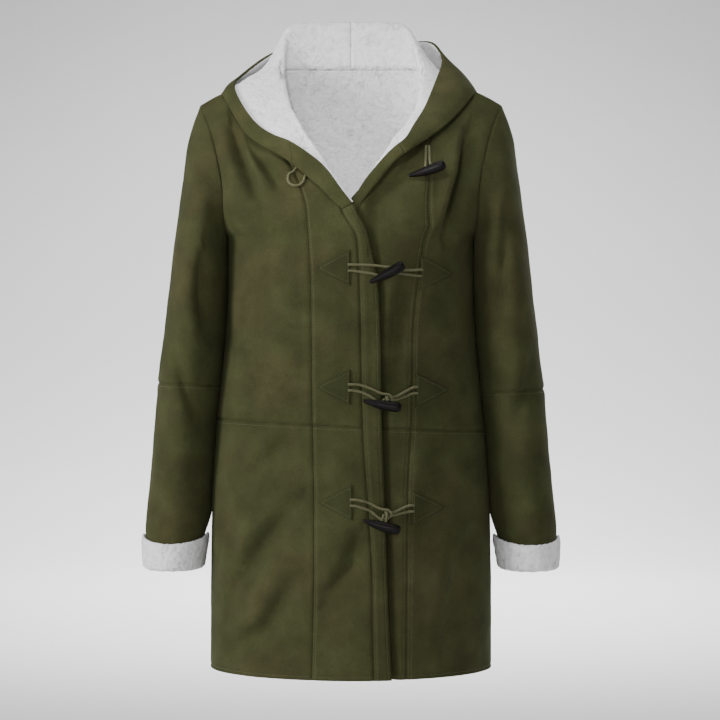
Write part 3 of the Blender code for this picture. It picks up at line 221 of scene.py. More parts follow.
leftHoodRows = [
    # station, ridge x, y, z, bottom x, y, z, edge x, y, z, lift, belly
    (-0.6, -9.0, -111.0, -182.0, -1.0, -115.0, -189.0, -9.0, -116.0, -183.0, 0.0, 0.2),
    (0.0, 2.0, -115.0, -165.0, 9.5, -121.0, -172.5, 2.0, -121.0, -165.0, 0.0, 0.3),
    (0.5, 16.0, -108.0, -143.0, 25.0, -118.0, -151.0, 15.0, -117.0, -141.0, 0.0, 0.5),
    (1.0, 31.0, -98.0, -124.0, 38.0, -111.0, -136.0, 31.0, -110.0, -121.0, 0.0, 0.5),
    (1.5, 45.0, -85.0, -105.0, 52.0, -104.0, -117.0, 45.0, -97.0, -104.0, 0.0, 0.5),
    (2.0, 58.0, -70.0, -84.0, 66.0, -97.0, -105.0, 57.0, -87.0, -92.0, 0.0, 1.0),
    (2.5, 72.0, -54.0, -65.0, 86.0, -84.0, -91.0, 68.0, -76.0, -80.0, 0.0, 3.0),
    (3.0, 85.0, -30.0, -42.0, 118.0, -56.0, -66.0, 90.0, -46.0, -50.0, 0.0, 4.0),
    (3.5, 89.0, -11.0, -22.0, 141.0, -26.0, -42.0, 101.0, -20.0, -24.0, 0.0, 5.0),
    (4.0, 90.0, 9.0, -4.0, 158.0, 2.0, -23.0, 110.0, 6.0, 2.0, 0.0, 6.0),
    (4.5, 90.5, 20.0, 6.0, 166.0, 18.0, -17.0, 115.0, 20.0, 16.0, 0.0, 7.0),
    (5.0, 90.0, 38.0, 27.0, 168.0, 42.0, -26.0, 121.0, 42.0, 36.0, 0.0, 8.0),
    (6.0, 80.0, 60.0, 62.0, 148.0, 80.0, -66.0, 108.0, 68.0, 60.0, 0.0, 12.0),
    (6.5, 71.0, 70.0, 77.0, 114.0, 116.0, -112.0, 88.0, 92.0, 64.0, 0.0, 20.0),
    (7.0, 54.0, 75.0, 82.0, 82.0, 132.0, -138.0, 60.0, 106.0, 64.0, 0.0, 25.0),
    (8.0, 0.0, 77.0, 83.0, 0.0, 143.0, -168.0, 0.0, 116.0, 62.0, 0.0, 28.0),
]
hood = {
    "rows": {-1: rightHoodRows, 1: leftHoodRows},
    "start": 2.0,
    "end": 8.0,
    "steps": (8, 14, 16, 3, 3, 10, 14),      # grid steps between a section's control points
    "bandStations": 40,
    "stations": 110,
    "nearClear": 1.3,
    "bend": 8.6,            # suede to suede where the roll turns back
    "endBend": 1.6,         # and where it runs out at the foot of the neckline
    "bendStations": 1.4,
    "fullBend": 7.9,        # below this bend the wall gets thinner
    "pile": 1.5,
    "rimRise": 0.9,         # how far the fleece side of the foot stands above the body's
    "smoothings": 24,       # the turned-back side is evened out along the neckline this often
    "softness": 0.5,
    "softSteps": 6.0,
}

# soft troughs (negative) and ridges, each along three points
frontFolds = [
    # x0, z0, x1, z1, x2, z2, half width, depth
    (-153.0, -63.0, -140.0, -110.0, -119.0, -158.0, 9.0, -5.5),
    (-129.0, -88.0, -110.0, -116.0, -90.0, -146.0, 8.0, -4.0),
    (149.0, -70.0, 141.0, -125.0, 117.0, -206.0, 9.0, -7.0),
    (71.0, -261.0, 56.0, -308.0, 47.0, -386.0, 9.0, -4.5),
    (-74.0, -456.0, -103.0, -481.0, -133.0, -506.0, 10.0, -3.0),
    (-74.0, -540.0, -113.0, -590.0, -144.0, -641.0, 12.0, -6.0),
    (-71.0, -633.0, -109.0, -693.0, -140.0, -716.0, 11.0, -5.0),
    (10.0, -578.0, -2.0, -615.0, -28.0, -650.0, 10.0, -4.0),
    (112.0, -465.0, 99.0, -515.0, 90.0, -570.0, 12.0, -3.0),
    (150.0, -575.0, 132.0, -640.0, 120.0, -715.0, 13.0, -4.0),
]
backFolds = [
    # x0, z0, x1, z1, x2, z2, half width, depth
    (-138.0, -120.0, -118.0, -175.0, -92.0, -235.0, 11.0, -5.0),
    (140.0, -115.0, 122.0, -170.0, 96.0, -225.0, 11.0, -5.5),
    (-120.0, -330.0, -60.0, -365.0, 20.0, -380.0, 11.0, -4.0),
    (118.0, -350.0, 60.0, -395.0, -10.0, -415.0, 11.0, -3.5),
    (-95.0, -470.0, -82.0, -560.0, -74.0, -660.0, 14.0, -5.0),
    (20.0, -480.0, 26.0, -580.0, 34.0, -690.0, 15.0, -4.0),
    (105.0, -465.0, 118.0, -560.0, 126.0, -680.0, 14.0, -5.5),
]
sleeveFolds = [
    # side, front (-1) or back (1), x0, z0, x1, z1, x2, z2, half width, depth
    (-1, -1, 186.0, -228.0, 190.0, -280.0, 180.0, -335.0, 9.0, -5.0),
    (-1, -1, 232.0, -330.0, 215.0, -385.0, 196.0, -430.0, 10.0, -3.5),
    (-1, 1, 225.0, -250.0, 205.0, -310.0, 186.0, -350.0, 10.0, -4.5),
    (-1, 1, 238.0, -380.0, 220.0, -430.0, 200.0, -465.0, 10.0, -4.0),
    (1, -1, 196.0, -165.0, 192.0, -225.0, 184.0, -290.0, 9.0, -4.5),
    (1, -1, 236.0, -350.0, 222.0, -400.0, 205.0, -440.0, 11.0, -3.5),
    (1, 1, 226.0, -230.0, 206.0, -290.0, 186.0, -340.0, 10.0, -4.5),
    (1, 1, 240.0, -400.0, 222.0, -445.0, 202.0, -480.0, 10.0, -4.0),
]
# finer creases that only the cloth has
frontCreases = [
    # x0, z0, x1, z1, x2, z2, half width, depth
    (151.0, -62.0, 144.0, -122.0, 118.0, -212.0, 7.0, -8.0),
    (-152.0, -64.0, -140.0, -112.0, -119.0, -160.0, 6.0, -4.0),
    (-128.0, -88.0, -109.0, -117.0, -90.0, -148.0, 6.0, -4.0),
    (62.0, -108.0, 34.0, -142.0, 24.0, -205.0, 12.0, -9.0),
    (92.0, -80.0, 74.0, -110.0, 52.0, -150.0, 12.0, -6.0),
    (-95.0, -82.0, -72.0, -122.0, -48.0, -158.0, 9.0, -3.0),
    (-143.0, -57.0, -117.0, -136.0, -101.0, -171.0, 7.0, 1.6),
    (156.0, -66.0, 147.0, -140.0, 127.0, -226.0, 6.0, 2.0),
    (-150.0, -286.0, -137.0, -335.0, -119.0, -386.0, 9.0, 2.0),
    (-85.0, -510.0, -95.0, -523.0, -105.0, -535.0, 6.0, -1.8),
    (-75.0, -701.0, -90.0, -720.0, -105.0, -735.0, 8.0, -2.6),
    (-34.0, -660.0, -19.0, -676.0, -5.0, -692.0, 17.0, -2.4),
    (118.0, -460.0, 119.0, -520.0, 118.0, -584.0, 12.0, -2.0),
    (60.0, -520.0, 68.0, -527.0, 78.0, -531.0, 5.0, -1.4),
    (63.0, -655.0, 78.0, -653.0, 94.0, -656.0, 7.0, -1.3),
    (17.0, -503.0, 28.0, -504.0, 42.0, -502.0, 4.0, -1.2),
    (22.0, -654.0, 32.0, -656.0, 45.0, -655.0, 4.0, -1.2),
]


# a slope that never lets the curve swing past its points
def heldSlope(before, after):
    if before * after <= 0.0:
        return 0.0
    return math.copysign(min(abs(before + after) / 2.0, 3.0 * abs(before), 3.0 * abs(after)), before)


def readColumn(rows, position, column):
    last = len(rows) - 1
    start = min(max(int(math.floor(position)), 0), last - 1)
    f = position - start
    p1, p2 = rows[start][column], rows[start + 1][column]
    p0 = rows[start - 1][column] if start > 0 else 2.0 * p1 - p2
    p3 = rows[start + 2][column] if start + 2 <= last else 2.0 * p2 - p1
    rise = p2 - p1
    s1, s2 = heldSlope(p1 - p0, rise), heldSlope(rise, p3 - p2)
    return p1 + f * (s1 + f * (3.0 * rise - 2.0 * s1 - s2 + f * (s1 + s2 - 2.0 * rise)))


def readRow(rows, position):
    return [readColumn(rows, position, column) for column in range(len(rows[0]))]


@lru_cache(maxsize=None)
def bodyRow(face, row):
    return readRow(frontRows if face == "front" else backRows, row)


@lru_cache(maxsize=None)
def sleeveRing(ring):
    return readRow(sleeveRings, ring)


@lru_cache(maxsize=None)
def hoodRow(side, station):
    rows = hood["rows"][side]
    index = 0
    while index < len(rows) - 2 and rows[index + 1][0] <= station:
        index += 1
    span = rows[index + 1][0] - rows[index][0]
    return readRow(rows, index + (station - rows[index][0]) / span)


# points along a smooth curve, where steps is one number or one for each stretch
def curveThrough(points, steps):
    points = [Vector(point) for point in points]
    count = len(points) - 1
    steps = [steps] * count if isinstance(steps, int) else steps
    lengths = [max((points[i + 1] - points[i]).length, 1e-6) for i in range(count)]
    chords = [(points[i + 1] - points[i]) / lengths[i] for i in range(count)]
    slopes = [chords[0]]
    for i in range(1, count):
        turned = chords[i - 1] * lengths[i] + chords[i] * lengths[i - 1]
        slopes.append(turned / (lengths[i - 1] + lengths[i]))
    slopes.append(chords[-1])
    smooth = []
    for i in range(count):
        start, end = slopes[i] * lengths[i], slopes[i + 1] * lengths[i]
        rise = points[i + 1] - points[i]
        for step in range(steps[i]):
            f = step / steps[i]
            smooth.append(points[i] + f * (start + f * (3.0 * rise - 2.0 * start - end
                                                        + f * (start + end - 2.0 * rise))))
    return smooth + [points[-1]]


def smoothstep(value):
    value = np.clip(value, 0.0, 1.0)
    return value * value * (3.0 - 2.0 * value)


def unit(vectors):
    return vectors / np.maximum(np.linalg.norm(vectors, axis=-1, keepdims=True), 1e-9)


# distance from the first point of a path to each of its points
def runLengths(points):
    return np.concatenate([[0.0], np.cumsum(np.linalg.norm(np.diff(points, axis=0), axis=1))])


# folds that drop steeply on the image's left and rise gently towards the right
def foldDepth(folds, x, z):
    total = np.zeros_like(x)
    for x0, z0, x1, z1, x2, z2, halfWidth, depth in folds:
        best, place, turned = np.full_like(x, 1e9), np.zeros_like(x), np.zeros_like(x)
        for ax, az, bx, bz, offset in ((x0, z0, x1, z1, 0.0), (x1, z1, x2, z2, 0.5)):
            alongX, alongZ = bx - ax, bz - az
            share = ((x - ax) * alongX + (z - az) * alongZ) / (alongX ** 2 + alongZ ** 2)
            held = np.clip(share, 0.0, 1.0)
            offX, offZ = x - ax - held * alongX, z - az - held * alongZ
            distance = np.hypot(offX, offZ)
            nearer = distance < best
            place = np.where(nearer, offset + held / 2.0, place)
            turned = np.where(nearer, alongX * offZ - alongZ * offX, turned)
            best = np.minimum(best, distance)
        steep = turned < 0.0
        width = np.where(steep, cloth["foldSteep"], cloth["foldGentle"]) * halfWidth
        ridge = cloth["foldRidge"] * np.exp(-((best - 1.7 * halfWidth) / (0.85 * halfWidth)) ** 2)
        shape = np.exp(-(best / width) ** 2) - np.where(steep, ridge, 0.0)
        total += depth * shape * np.sin(math.pi * (0.12 + 0.76 * place))    # shallower at both ends
    return total


# the top edge of the back: the shoulder seam up to u = 0.5, then the neckline
def backTop(side, u):
    low = np.array(frontRows[shoulderRow][0:3])
    high = np.array(backNeck[0])
    points = []
    for value in u:
        if value <= 0.5:
            points.append(low + (high - low) * 2.0 * value)
        else:
            points.append(np.array(readRow(backNeck, 8.0 * (value - 0.5))))
    return np.array(points) * (side, 1.0, 1.0)


# one row of the body from its side seam, u = 0, to its middle, u = 1
def rowLine(face, side, row, u):
    outX, outY, outZ, inX, inY, inZ, roundness, tilt = bodyRow(face, row)
    angle = math.pi / 2.0 * u
    across = (1.0 - roundness) * u + roundness * (1.0 - np.cos(angle))
    deep = (1.0 - roundness) * u + roundness * np.sin(angle)
    x = outX + (inX - outX) * across
    y = outY + (inY - outY) * deep
    z = outZ + (inZ - outZ) * across - tilt * side * x / body["halfWaist"]
    return np.stack([side * x, y, z], axis=-1)


def plainLine(face, side, row, u):
    line = rowLine(face, side, row, u)
    rows = body["liftRows"]
    if row > shoulderRow - rows:
        places, lifts = zip(*shoulderLift)
        lift = np.interp(u if face == "front" else 2.0 * u, places, lifts)
        line[:, 2] += lift * float(smoothstep((row - shoulderRow + rows) / rows))
    if face == "back" and row > vRow:
        share = ((row - vRow) / (shoulderRow - vRow)) ** body["topBend"]
        line = line + share * (backTop(side, u) - rowLine(face, side, shoulderRow, u))
    return line


def plainNormals(face, side, row, u):
    step = body["step"]
    above = plainLine(face, side, min(row + step, shoulderRow), u)
    up = above - plainLine(face, side, max(row - step, 0.0), u)
    further = plainLine(face, side, row, u + step)
    along = further - plainLine(face, side, row, np.where(u < step, u, u - step))
    return unit(np.cross(along, up)) * side * (-1.0 if face == "front" else 1.0)


# outside of the cloth along one row of the body, with its normals
def bodyLine(face, side, row, u, fine=True):
    line, normals = plainLine(face, side, row, u), plainNormals(face, side, row, u)
    folds = frontFolds if face == "front" else backFolds
    rise = cloth["foldDepth"] * foldDepth(folds, line[:, 0], line[:, 2])
    if fine and face == "front":
        joined = 1.0 if row < vRow else smoothstep((centreU(side, row) - u) / cloth["creaseEnd"])
        rise = rise + joined * foldDepth(frontCreases, line[:, 0], line[:, 2])
        if side > 0 and row < vRow + 0.5:
            beside = line[:, 0] - readColumn(seamRows, row, lapEdge) - cloth["gapPast"]
            fade = smoothstep((vRow + 0.5 - row) / 1.0)
            rise = rise - cloth["gapDepth"] * fade * np.exp(-(beside / cloth["gapWidth"]) ** 2)
    rise = rise * smoothstep(u / cloth["foldFromSide"])
    rise = rise * smoothstep((shoulderRow - row) / cloth["foldFromShoulder"])
    if face == "front" and side < 0:
        lap = smoothstep((line[:, 0] - cloth["lapStart"]) / (cloth["lapFull"] - cloth["lapStart"]))
        rise = rise + cloth["lapRise"] * lap * smoothstep((shoulderRow - 2.0 - row) / 2.0)
    return line + rise[:, None] * normals, normals


# one ring of the sleeve; angle 0 is its outer side, 90 the front and 180 the side at the body
def sleeveEllipse(side, ring, angles):
    outerX, outerZ, innerX, innerZ, frontY, backY = sleeveRing(ring)
    turn = np.radians(angles)
    drop = sleeve["drop"][side] * math.exp(-((ring - elbowRing) / sleeve["dropRings"]) ** 2)
    middle = np.array([(outerX + innerX) / 2.0, (frontY + backY) / 2.0, (outerZ + innerZ) / 2.0 + drop])
    reach = np.array([(outerX - innerX) / 2.0, 0.0, (outerZ - innerZ) / 2.0])
    points = middle + np.cos(turn)[:, None] * reach
    points[:, 1] -= (backY - frontY) / 2.0 * np.sin(turn)
    return points * (side, 1.0, 1.0)


@lru_cache(maxsize=None)
def armholePoint(side, angle):
    face = "front" if angle <= 180.0 else "back"
    share = angle / 180.0 if angle <= 180.0 else (360.0 - angle) / 180.0
    return plainLine(face, side, shoulderRow - (shoulderRow - underarmRow) * share, np.zeros(1))[0]


def sleeveSurface(side, ring, angles):
    points = sleeveEllipse(side, ring, angles)
    innerX, innerZ = sleeveRing(ring)[2:4]
    halfBody = float(np.interp(innerZ, [row[2] for row in frontRows], [row[0] for row in frontRows]))
    hugged = max(innerX - halfBody - sleeve["gap"], 0.0)
    hugged = hugged * smoothstep((ring - sleeve["hugFrom"]) / sleeve["hugFadeIn"])
    hugged = hugged * (1.0 - smoothstep((ring - sleeve["hugTo"]) / sleeve["hugFadeOut"]))
    points[:, 0] -= side * hugged * np.exp(-((angles % 360.0 - 180.0) / sleeve["hugAngle"]) ** 4)
    if ring < sleeve["headRings"]:
        share = (1.0 - ring / sleeve["headRings"]) ** 2
        rim = np.array([armholePoint(side, float(angle) % 360.0) for angle in angles])
        points = points + share * (rim - sleeveEllipse(side, 0.0, angles))
    return points


def sleeveNormals(side, ring, angles):
    step = body["step"]
    below = sleeveSurface(side, min(ring + step, wristRing), angles)
    down = below - sleeveSurface(side, max(ring - step, 0.0), angles)
    around = sleeveSurface(side, ring, angles + 1.0) - sleeveSurface(side, ring, angles - 1.0)
    return unit(np.cross(around, down)) * side


def sleeveLine(side, ring, angles):
    points, normals = sleeveSurface(side, ring, angles), sleeveNormals(side, ring, angles)
    depth = np.zeros(len(angles))
    lean = np.sin(np.radians(angles))
    for facing in (-1, 1):
        folds = [(side * x0, z0, side * x1, z1, side * x2, z2, width, deep)
                 for a, b, x0, z0, x1, z1, x2, z2, width, deep in sleeveFolds
                 if (a, b) == (side, facing)]
        seen = lean > 0.0 if facing < 0 else lean <= 0.0
        depth = depth + np.where(seen, foldDepth(folds, points[:, 0], points[:, 2]), 0.0)
    depth = depth * cloth["foldDepth"] * float(smoothstep(ring / sleeve["foldRings"])) * np.abs(lean)
    return points + depth[:, None] * normals, normals


# where a row of the front crosses x, also past the middle, found by halving
def uAtX(side, row, x):
    low, high = 0.0, 1.6
    for _ in range(32):
        middle = (low + high) / 2.0
        if plainLine("front", side, row, np.array([middle]))[0, 0] * side > x * side:
            low = middle
        else:
            high = middle
    return (low + high) / 2.0


@lru_cache(maxsize=None)
def seamU(seam, side, row):
    return uAtX(side, row, readColumn(seamRows, row, seam))


# where a front ends: at its placket seam or hidden edge, and above the V point at the neckline
@lru_cache(maxsize=None)
def centreU(side, row):
    if row >= vRow + 1:
        return 1.0
    below = min(row, vRow)
    inner = seamU(placketSeam, side, below) if side < 0 else uAtX(side, below, body["hiddenEdgeX"])
    return inner + (1.0 - inner) * max(row - vRow, 0.0)


def deselectAll():
    if bpy.context.mode != "OBJECT":
        bpy.ops.object.mode_set(mode="OBJECT")
    bpy.ops.object.select_all(action="DESELECT")


def selectOnly(piece):
    deselectAll()
    piece.select_set(True)
    bpy.context.view_layer.objects.active = piece


def editWhole(piece, operator, **settings):
    selectOnly(piece)
    bpy.ops.object.mode_set(mode="EDIT")
    bpy.ops.mesh.select_all(action="SELECT")
    operator(**settings)
    bpy.ops.object.mode_set(mode="OBJECT")


# a primitive grid whose vertices are laid on rows of points; outward is kept on them for the wall
def addGrid(name, points, outward, closed=False):
    rows, columns = points.shape[:2]
    deselectAll()
    bpy.ops.mesh.primitive_grid_add(x_subdivisions=columns - 1, y_subdivisions=rows - 1, size=1.0)
    piece = bpy.context.active_object
    piece.name = piece.data.name = name
    flat = np.empty(len(piece.data.vertices) * 3)
    piece.data.vertices.foreach_get("co", flat)
    flat = flat.reshape(-1, 3)
    column = np.rint((flat[:, 0] + 0.5) * (columns - 1)).astype(int)
    row = np.rint((flat[:, 1] + 0.5) * (rows - 1)).astype(int)
    piece.data.vertices.foreach_set("co", (points[row, column] * mm).ravel())
    kept = piece.data.attributes.new("outward", "FLOAT_VECTOR", "POINT")
    kept.data.foreach_set("vector", outward[row, column].ravel())
    a, b = rows // 2, columns // 2
    normal = np.cross(points[a, b] - points[a, b - 1], points[a, b] - points[a - 1, b])
    if np.dot(normal, outward[a, b]) < 0.0:
        piece.data.flip_normals()
    if closed:
        editWhole(piece, bpy.ops.mesh.remove_doubles, threshold=0.00001)
    piece.data.update()
    return piece


def applyModifier(piece, kind, settings):
    selectOnly(piece)
    modifier = piece.modifiers.new(kind.lower(), kind)
    for name, value in settings.items():
        setattr(modifier, name, value)
    bpy.ops.object.modifier_apply(modifier=modifier.name)


def readVertices(piece):
    flat = np.empty(len(piece.data.vertices) * 3)
    piece.data.vertices.foreach_get("co", flat)
    return flat.reshape(-1, 3)


def writeVertices(piece, places):
    piece.data.vertices.foreach_set("co", places.ravel())
    piece.data.update()


# lumpy height of sherpa pile, 0 to 1: curls with creases between them, and finer lumps on those
def curl(points, size):
    heights = np.empty(len(points))
    for index, point in enumerate(points):
        place = Vector(point) / size
        lumps = 1.0 - abs(noise.noise(place)) * 1.8
        finer = noise.noise(place * 2.3 + Vector((7.0, 3.0, 1.0)))
        heights[index] = 0.62 * lumps + 0.38 * finer
    return np.clip(heights, 0.0, 1.0)


# gives a cloth its wall, inwards from the directions kept on it, and a fleece back whose curls stand
# pile high; mitres are (vertex, vertex it turns in from, wall as a vector), beside an edge that meets
# another piece
def thicken(piece, pile=0.0, mitres=()):
    wall, count = cloth["wall"], len(piece.data.vertices)
    inward = np.empty(count * 3)
    piece.data.attributes["outward"].data.foreach_get("vector", inward)
    inward = inward.reshape(-1, 3) * -wall
    piece.data.attributes.remove(piece.data.attributes["outward"])
    piece.data.materials.append(suede)
    piece.data.materials.append(fleece)
    applyModifier(piece, "SOLIDIFY", {"thickness": wall * mm, "offset": -1.0, "material_offset": 1})
    places = readVertices(piece)
    outside = places[:count] / mm
    inside = outside + inward
    if pile > 0.0:
        thin = (np.linalg.norm(inward, axis=1) / wall) ** 3
        inside += unit(inward) * (curl(inside, cloth["pileSize"]) * pile * thin)[:, None]
    for vertex, source, vector in mitres:
        inside[vertex] = outside[source] - np.array(vector)
    places[count:2 * count] = inside * mm
    writeVertices(piece, places)
    piece.data.shade_smooth()


# how far each grid point lies from the left, right, low and high edges
def edgeDistances(points):
    across = np.linalg.norm(np.diff(points, axis=1), axis=2)
    along = np.linalg.norm(np.diff(points, axis=0), axis=2)
    fromLeft = np.concatenate([np.zeros((points.shape[0], 1)), np.cumsum(across, axis=1)], axis=1)
    fromLow = np.concatenate([np.zeros((1, points.shape[1])), np.cumsum(along, axis=0)], axis=0)
    return fromLeft, fromLeft[:, -1:] - fromLeft, fromLow, fromLow[-1:, :] - fromLow


def seamShape(distance):
    return (cloth["seamPuff"] * np.exp(-((distance - cloth["puffWidth"]) / (0.7 * cloth["puffWidth"])) ** 2)
            - cloth["seamDepth"] * np.exp(-(distance / cloth["seamWidth"]) ** 2))


# shares of a length, closer together beside its seams
def seamSteps(length, spacing, low=True, high=True):
    start = cloth["seamLines"] if low else (0.0,)
    end = cloth["seamLines"] if high else (0.0,)
    count = max(int((length - start[-1] - end[-1]) / spacing), 2)
    middle = np.linspace(start[-1], length - end[-1], count + 1)[1:-1]
    return np.concatenate([start, middle, [length - value for value in reversed(end)]]) / length


# slow unevenness of a thick bonded cloth, the same on both sides of a seam, none where still is 0
def addWrinkles(points, normals, still):
    size, fine = cloth["waveSize"], cloth["waveSize"] * cloth["rippleSize"]
    rise = np.array([noise.noise(Vector(p) / size) + cloth["rippleDepth"] * noise.noise(Vector(p) / fine)
                     for p in points.reshape(-1, 3)])
    return points + normals * (rise.reshape(points.shape[:2]) * cloth["waveDepth"] * still)[:, :, None]


def hexColour(text):
    values = [int(text[i:i + 2], 16) / 255.0 for i in (0, 2, 4)]
    return tuple(v / 12.92 if v <= 0.04045 else ((v + 0.055) / 1.055) ** 2.4 for v in values) + (1.0,)


def addNode(material, kind, settings=(), inputs=(), links=()):
    node = material.node_tree.nodes.new(kind)
    for name, value in dict(settings).items():
        setattr(node, name, value)
    for name, value in dict(inputs).items():
        node.inputs[name].default_value = value
    for name, source in dict(links).items():
        material.node_tree.links.new(source, node.inputs[name])
    return node


def setRamp(node, stops):
    ramp = node.color_ramp
    while len(ramp.elements) < len(stops):
        ramp.elements.new(0.5)
    for element, (place, colour) in zip(ramp.elements, stops):
        element.position = place
        element.color = hexColour(colour)


def newMaterial(name, values):
    material = bpy.data.materials.new(name)
    material.use_nodes = True
    shader = material.node_tree.nodes["Principled BSDF"]
    for socket, value in values.items():
        shader.inputs[socket].default_value = value
    return material, shader, addNode(material, "ShaderNodeTexCoord").outputs["Object"]


def joinShader(material, shader, colour, bump=None):
    material.node_tree.links.new(colour, shader.inputs["Base Color"])
    if bump:
        material.node_tree.links.new(bump.outputs["Normal"], shader.inputs["Normal"])
    return material


# Polyester faux suede, brushed: matt, with a soft cloudy nap that leans browner in places. Its clouds
# are some 36 mm wide and its browner patches 75 mm. The nap's real fibres are too fine to show, so they
# are drawn about 2 mm wide.
def brushedSuede(name, tones, warmer, nap):
    material, shader, place = newMaterial(name, {
        "Roughness": 0.92, "Specular IOR Level": 0.16, "Sheen Weight": 0.16, "Sheen Roughness": 0.55,
        "Sheen Tint": hexColour("7f8460"),
    })
    clouds = addNode(material, "ShaderNodeTexNoise", {},
                     {"Scale": 1000.0 / 36.0, "Detail": 4.0, "Roughness": 0.55}, {"Vector": place})
    fibre = addNode(material, "ShaderNodeTexNoise", {},
                    {"Scale": 1000.0 / nap, "Detail": 3.0, "Roughness": 0.7}, {"Vector": place})
    lean = addNode(material, "ShaderNodeTexNoise", {},
                   {"Scale": 1000.0 / 75.0, "Detail": 3.0, "Roughness": 0.5}, {"Vector": place})
    half = addNode(material, "ShaderNodeMath", {"operation": "MULTIPLY"}, {1: 0.62},
                   {0: clouds.outputs["Fac"]})
    both = addNode(material, "ShaderNodeMath", {"operation": "MULTIPLY_ADD"}, {1: 0.38},
                   {0: fibre.outputs["Fac"], 2: half.outputs["Value"]})
    green = addNode(material, "ShaderNodeValToRGB", links={"Fac": both.outputs["Value"]})
    setRamp(green, [(0.34, tones[0]), (0.5, tones[1]), (0.66, tones[2])])
    brown = addNode(material, "ShaderNodeValToRGB", links={"Fac": both.outputs["Value"]})
    setRamp(brown, [(0.34, warmer[0]), (0.5, warmer[1]), (0.66, warmer[2])])
    share = addNode(material, "ShaderNodeMapRange", inputs={"From Min": 0.42, "From Max": 0.6},
                    links={"Value": lean.outputs["Fac"]})
    colour = addNode(material, "ShaderNodeMix", {"data_type": "RGBA"},
                     links={"Factor": share.outputs["Result"]})
    material.node_tree.links.new(green.outputs["Color"], colour.inputs[6])
    material.node_tree.links.new(brown.outputs["Color"], colour.inputs[7])
    bump = addNode(material, "ShaderNodeBump", inputs={"Strength": 0.5, "Distance": 0.0005},
                   links={"Height": fibre.outputs["Fac"]})
    soft = addNode(material, "ShaderNodeBump", inputs={"Strength": 0.3, "Distance": 0.0015},
                   links={"Height": clouds.outputs["Fac"], "Normal": bump.outputs["Normal"]})
    return joinShader(material, shader, colour.outputs[2], soft)


# Knitted polyester sherpa: matt white tufts some 9 mm wide, made of curls of 3 mm, with painted grey-lilac
# shade where the pile dips between them.
def sherpaFleece(name):
    material, shader, place = newMaterial(name, {
        "Roughness": 0.95, "Specular IOR Level": 0.1, "Sheen Weight": 0.2, "Sheen Roughness": 0.6,
    })
    tufts = addNode(material, "ShaderNodeTexNoise", {},
                    {"Scale": 1000.0 / 9.0, "Detail": 2.0, "Distortion": 0.8}, {"Vector": place})
    curls = addNode(material, "ShaderNodeTexNoise", {},
                    {"Scale": 1000.0 / 3.2, "Detail": 4.0, "Roughness": 0.6}, {"Vector": place})
    half = addNode(material, "ShaderNodeMath", {"operation": "MULTIPLY"}, {1: 0.6},
                   {0: tufts.outputs["Fac"]})
    height = addNode(material, "ShaderNodeMath", {"operation": "MULTIPLY_ADD"}, {1: 0.4},
                     {0: curls.outputs["Fac"], 2: half.outputs["Value"]})
    # painted shade: the ramp turns the white to grey-lilac where tufts and curls are low, as if shadow fell
    # between them
    ramp = addNode(material, "ShaderNodeValToRGB", links={"Fac": height.outputs["Value"]})
    setRamp(ramp, [(0.33, "d2d0d6"), (0.46, "efeef0"), (0.62, "fafafa")])
    soft = addNode(material, "ShaderNodeBump", inputs={"Strength": 0.6, "Distance": 0.004},
                   links={"Height": tufts.outputs["Fac"]})
    fine = addNode(material, "ShaderNodeBump", inputs={"Strength": 0.45, "Distance": 0.0012},
                   links={"Height": curls.outputs["Fac"], "Normal": soft.outputs["Normal"]})
    return joinShader(material, shader, ramp.outputs["Color"], fine)


# Moulded resin made like buffalo horn: near black and polished, with faint brown streaks some 9 mm long.
def polishedHorn(name):
    material, shader, place = newMaterial(name, {
        "Roughness": 0.38, "IOR": 1.45, "Specular IOR Level": 0.22,
    })
    streaks = addNode(material, "ShaderNodeTexNoise", {},
                      {"Scale": 1000.0 / 9.0, "Detail": 6.0, "Distortion": 1.4}, {"Vector": place})
    ramp = addNode(material, "ShaderNodeValToRGB", links={"Fac": streaks.outputs["Fac"]})
    setRamp(ramp, [(0.38, "080605"), (0.58, "100c0a"), (0.78, "1d1611")])
    bump = addNode(material, "ShaderNodeBump", inputs={"Strength": 0.15, "Distance": 0.0004},
                   links={"Height": streaks.outputs["Fac"]})
    return joinShader(material, shader, ramp.outputs["Color"], bump)


# Twisted polyester yarn: a little glossier than the suede, with fibres drawn 0.9 mm wide, as the real
# ones are too fine to show.
def twistedCord(name, tones):
    material, shader, place = newMaterial(name, {
        "Roughness": 0.62, "Specular IOR Level": 0.35, "Sheen Weight": 0.15,
    })
    fibre = addNode(material, "ShaderNodeTexNoise", inputs={"Scale": 1000.0 / 0.9, "Detail": 3.0},
                    links={"Vector": place})
    ramp = addNode(material, "ShaderNodeValToRGB", links={"Fac": fibre.outputs["Fac"]})
    setRamp(ramp, [(0.35, tones[0]), (0.65, tones[1])])
    bump = addNode(material, "ShaderNodeBump", inputs={"Strength": 0.4, "Distance": 0.0002},
                   links={"Height": fibre.outputs["Fac"]})
    return joinShader(material, shader, ramp.outputs["Color"], bump)


suede = brushedSuede("olive_faux_suede", ("32341e", "3a3d23", "43472b"),
                     ("35341f", "3e3d25", "47462c"), 2.4)
patchSuede = brushedSuede("olive_suede_patch", ("2d301b", "34381f", "3b4026"),
                          ("302f1c", "373720", "3f3e27"), 1.8)
fleece = sherpaFleece("white_sherpa_fleece")
horn = polishedHorn("dark_horn_resin")
cordYarn = twistedCord("olive_twisted_cord", ("4b4b2e", "706f4b"))
thread = twistedCord("olive_sewing_thread", ("43452a", "525436"))
print("materials made")

view = {
    "distance": 2.7,
    "x": 0.0116,
    "z": -0.361,
    "framed": 0.9288,       # metres across the picture at the origin
    "sensor": 36.0,
}


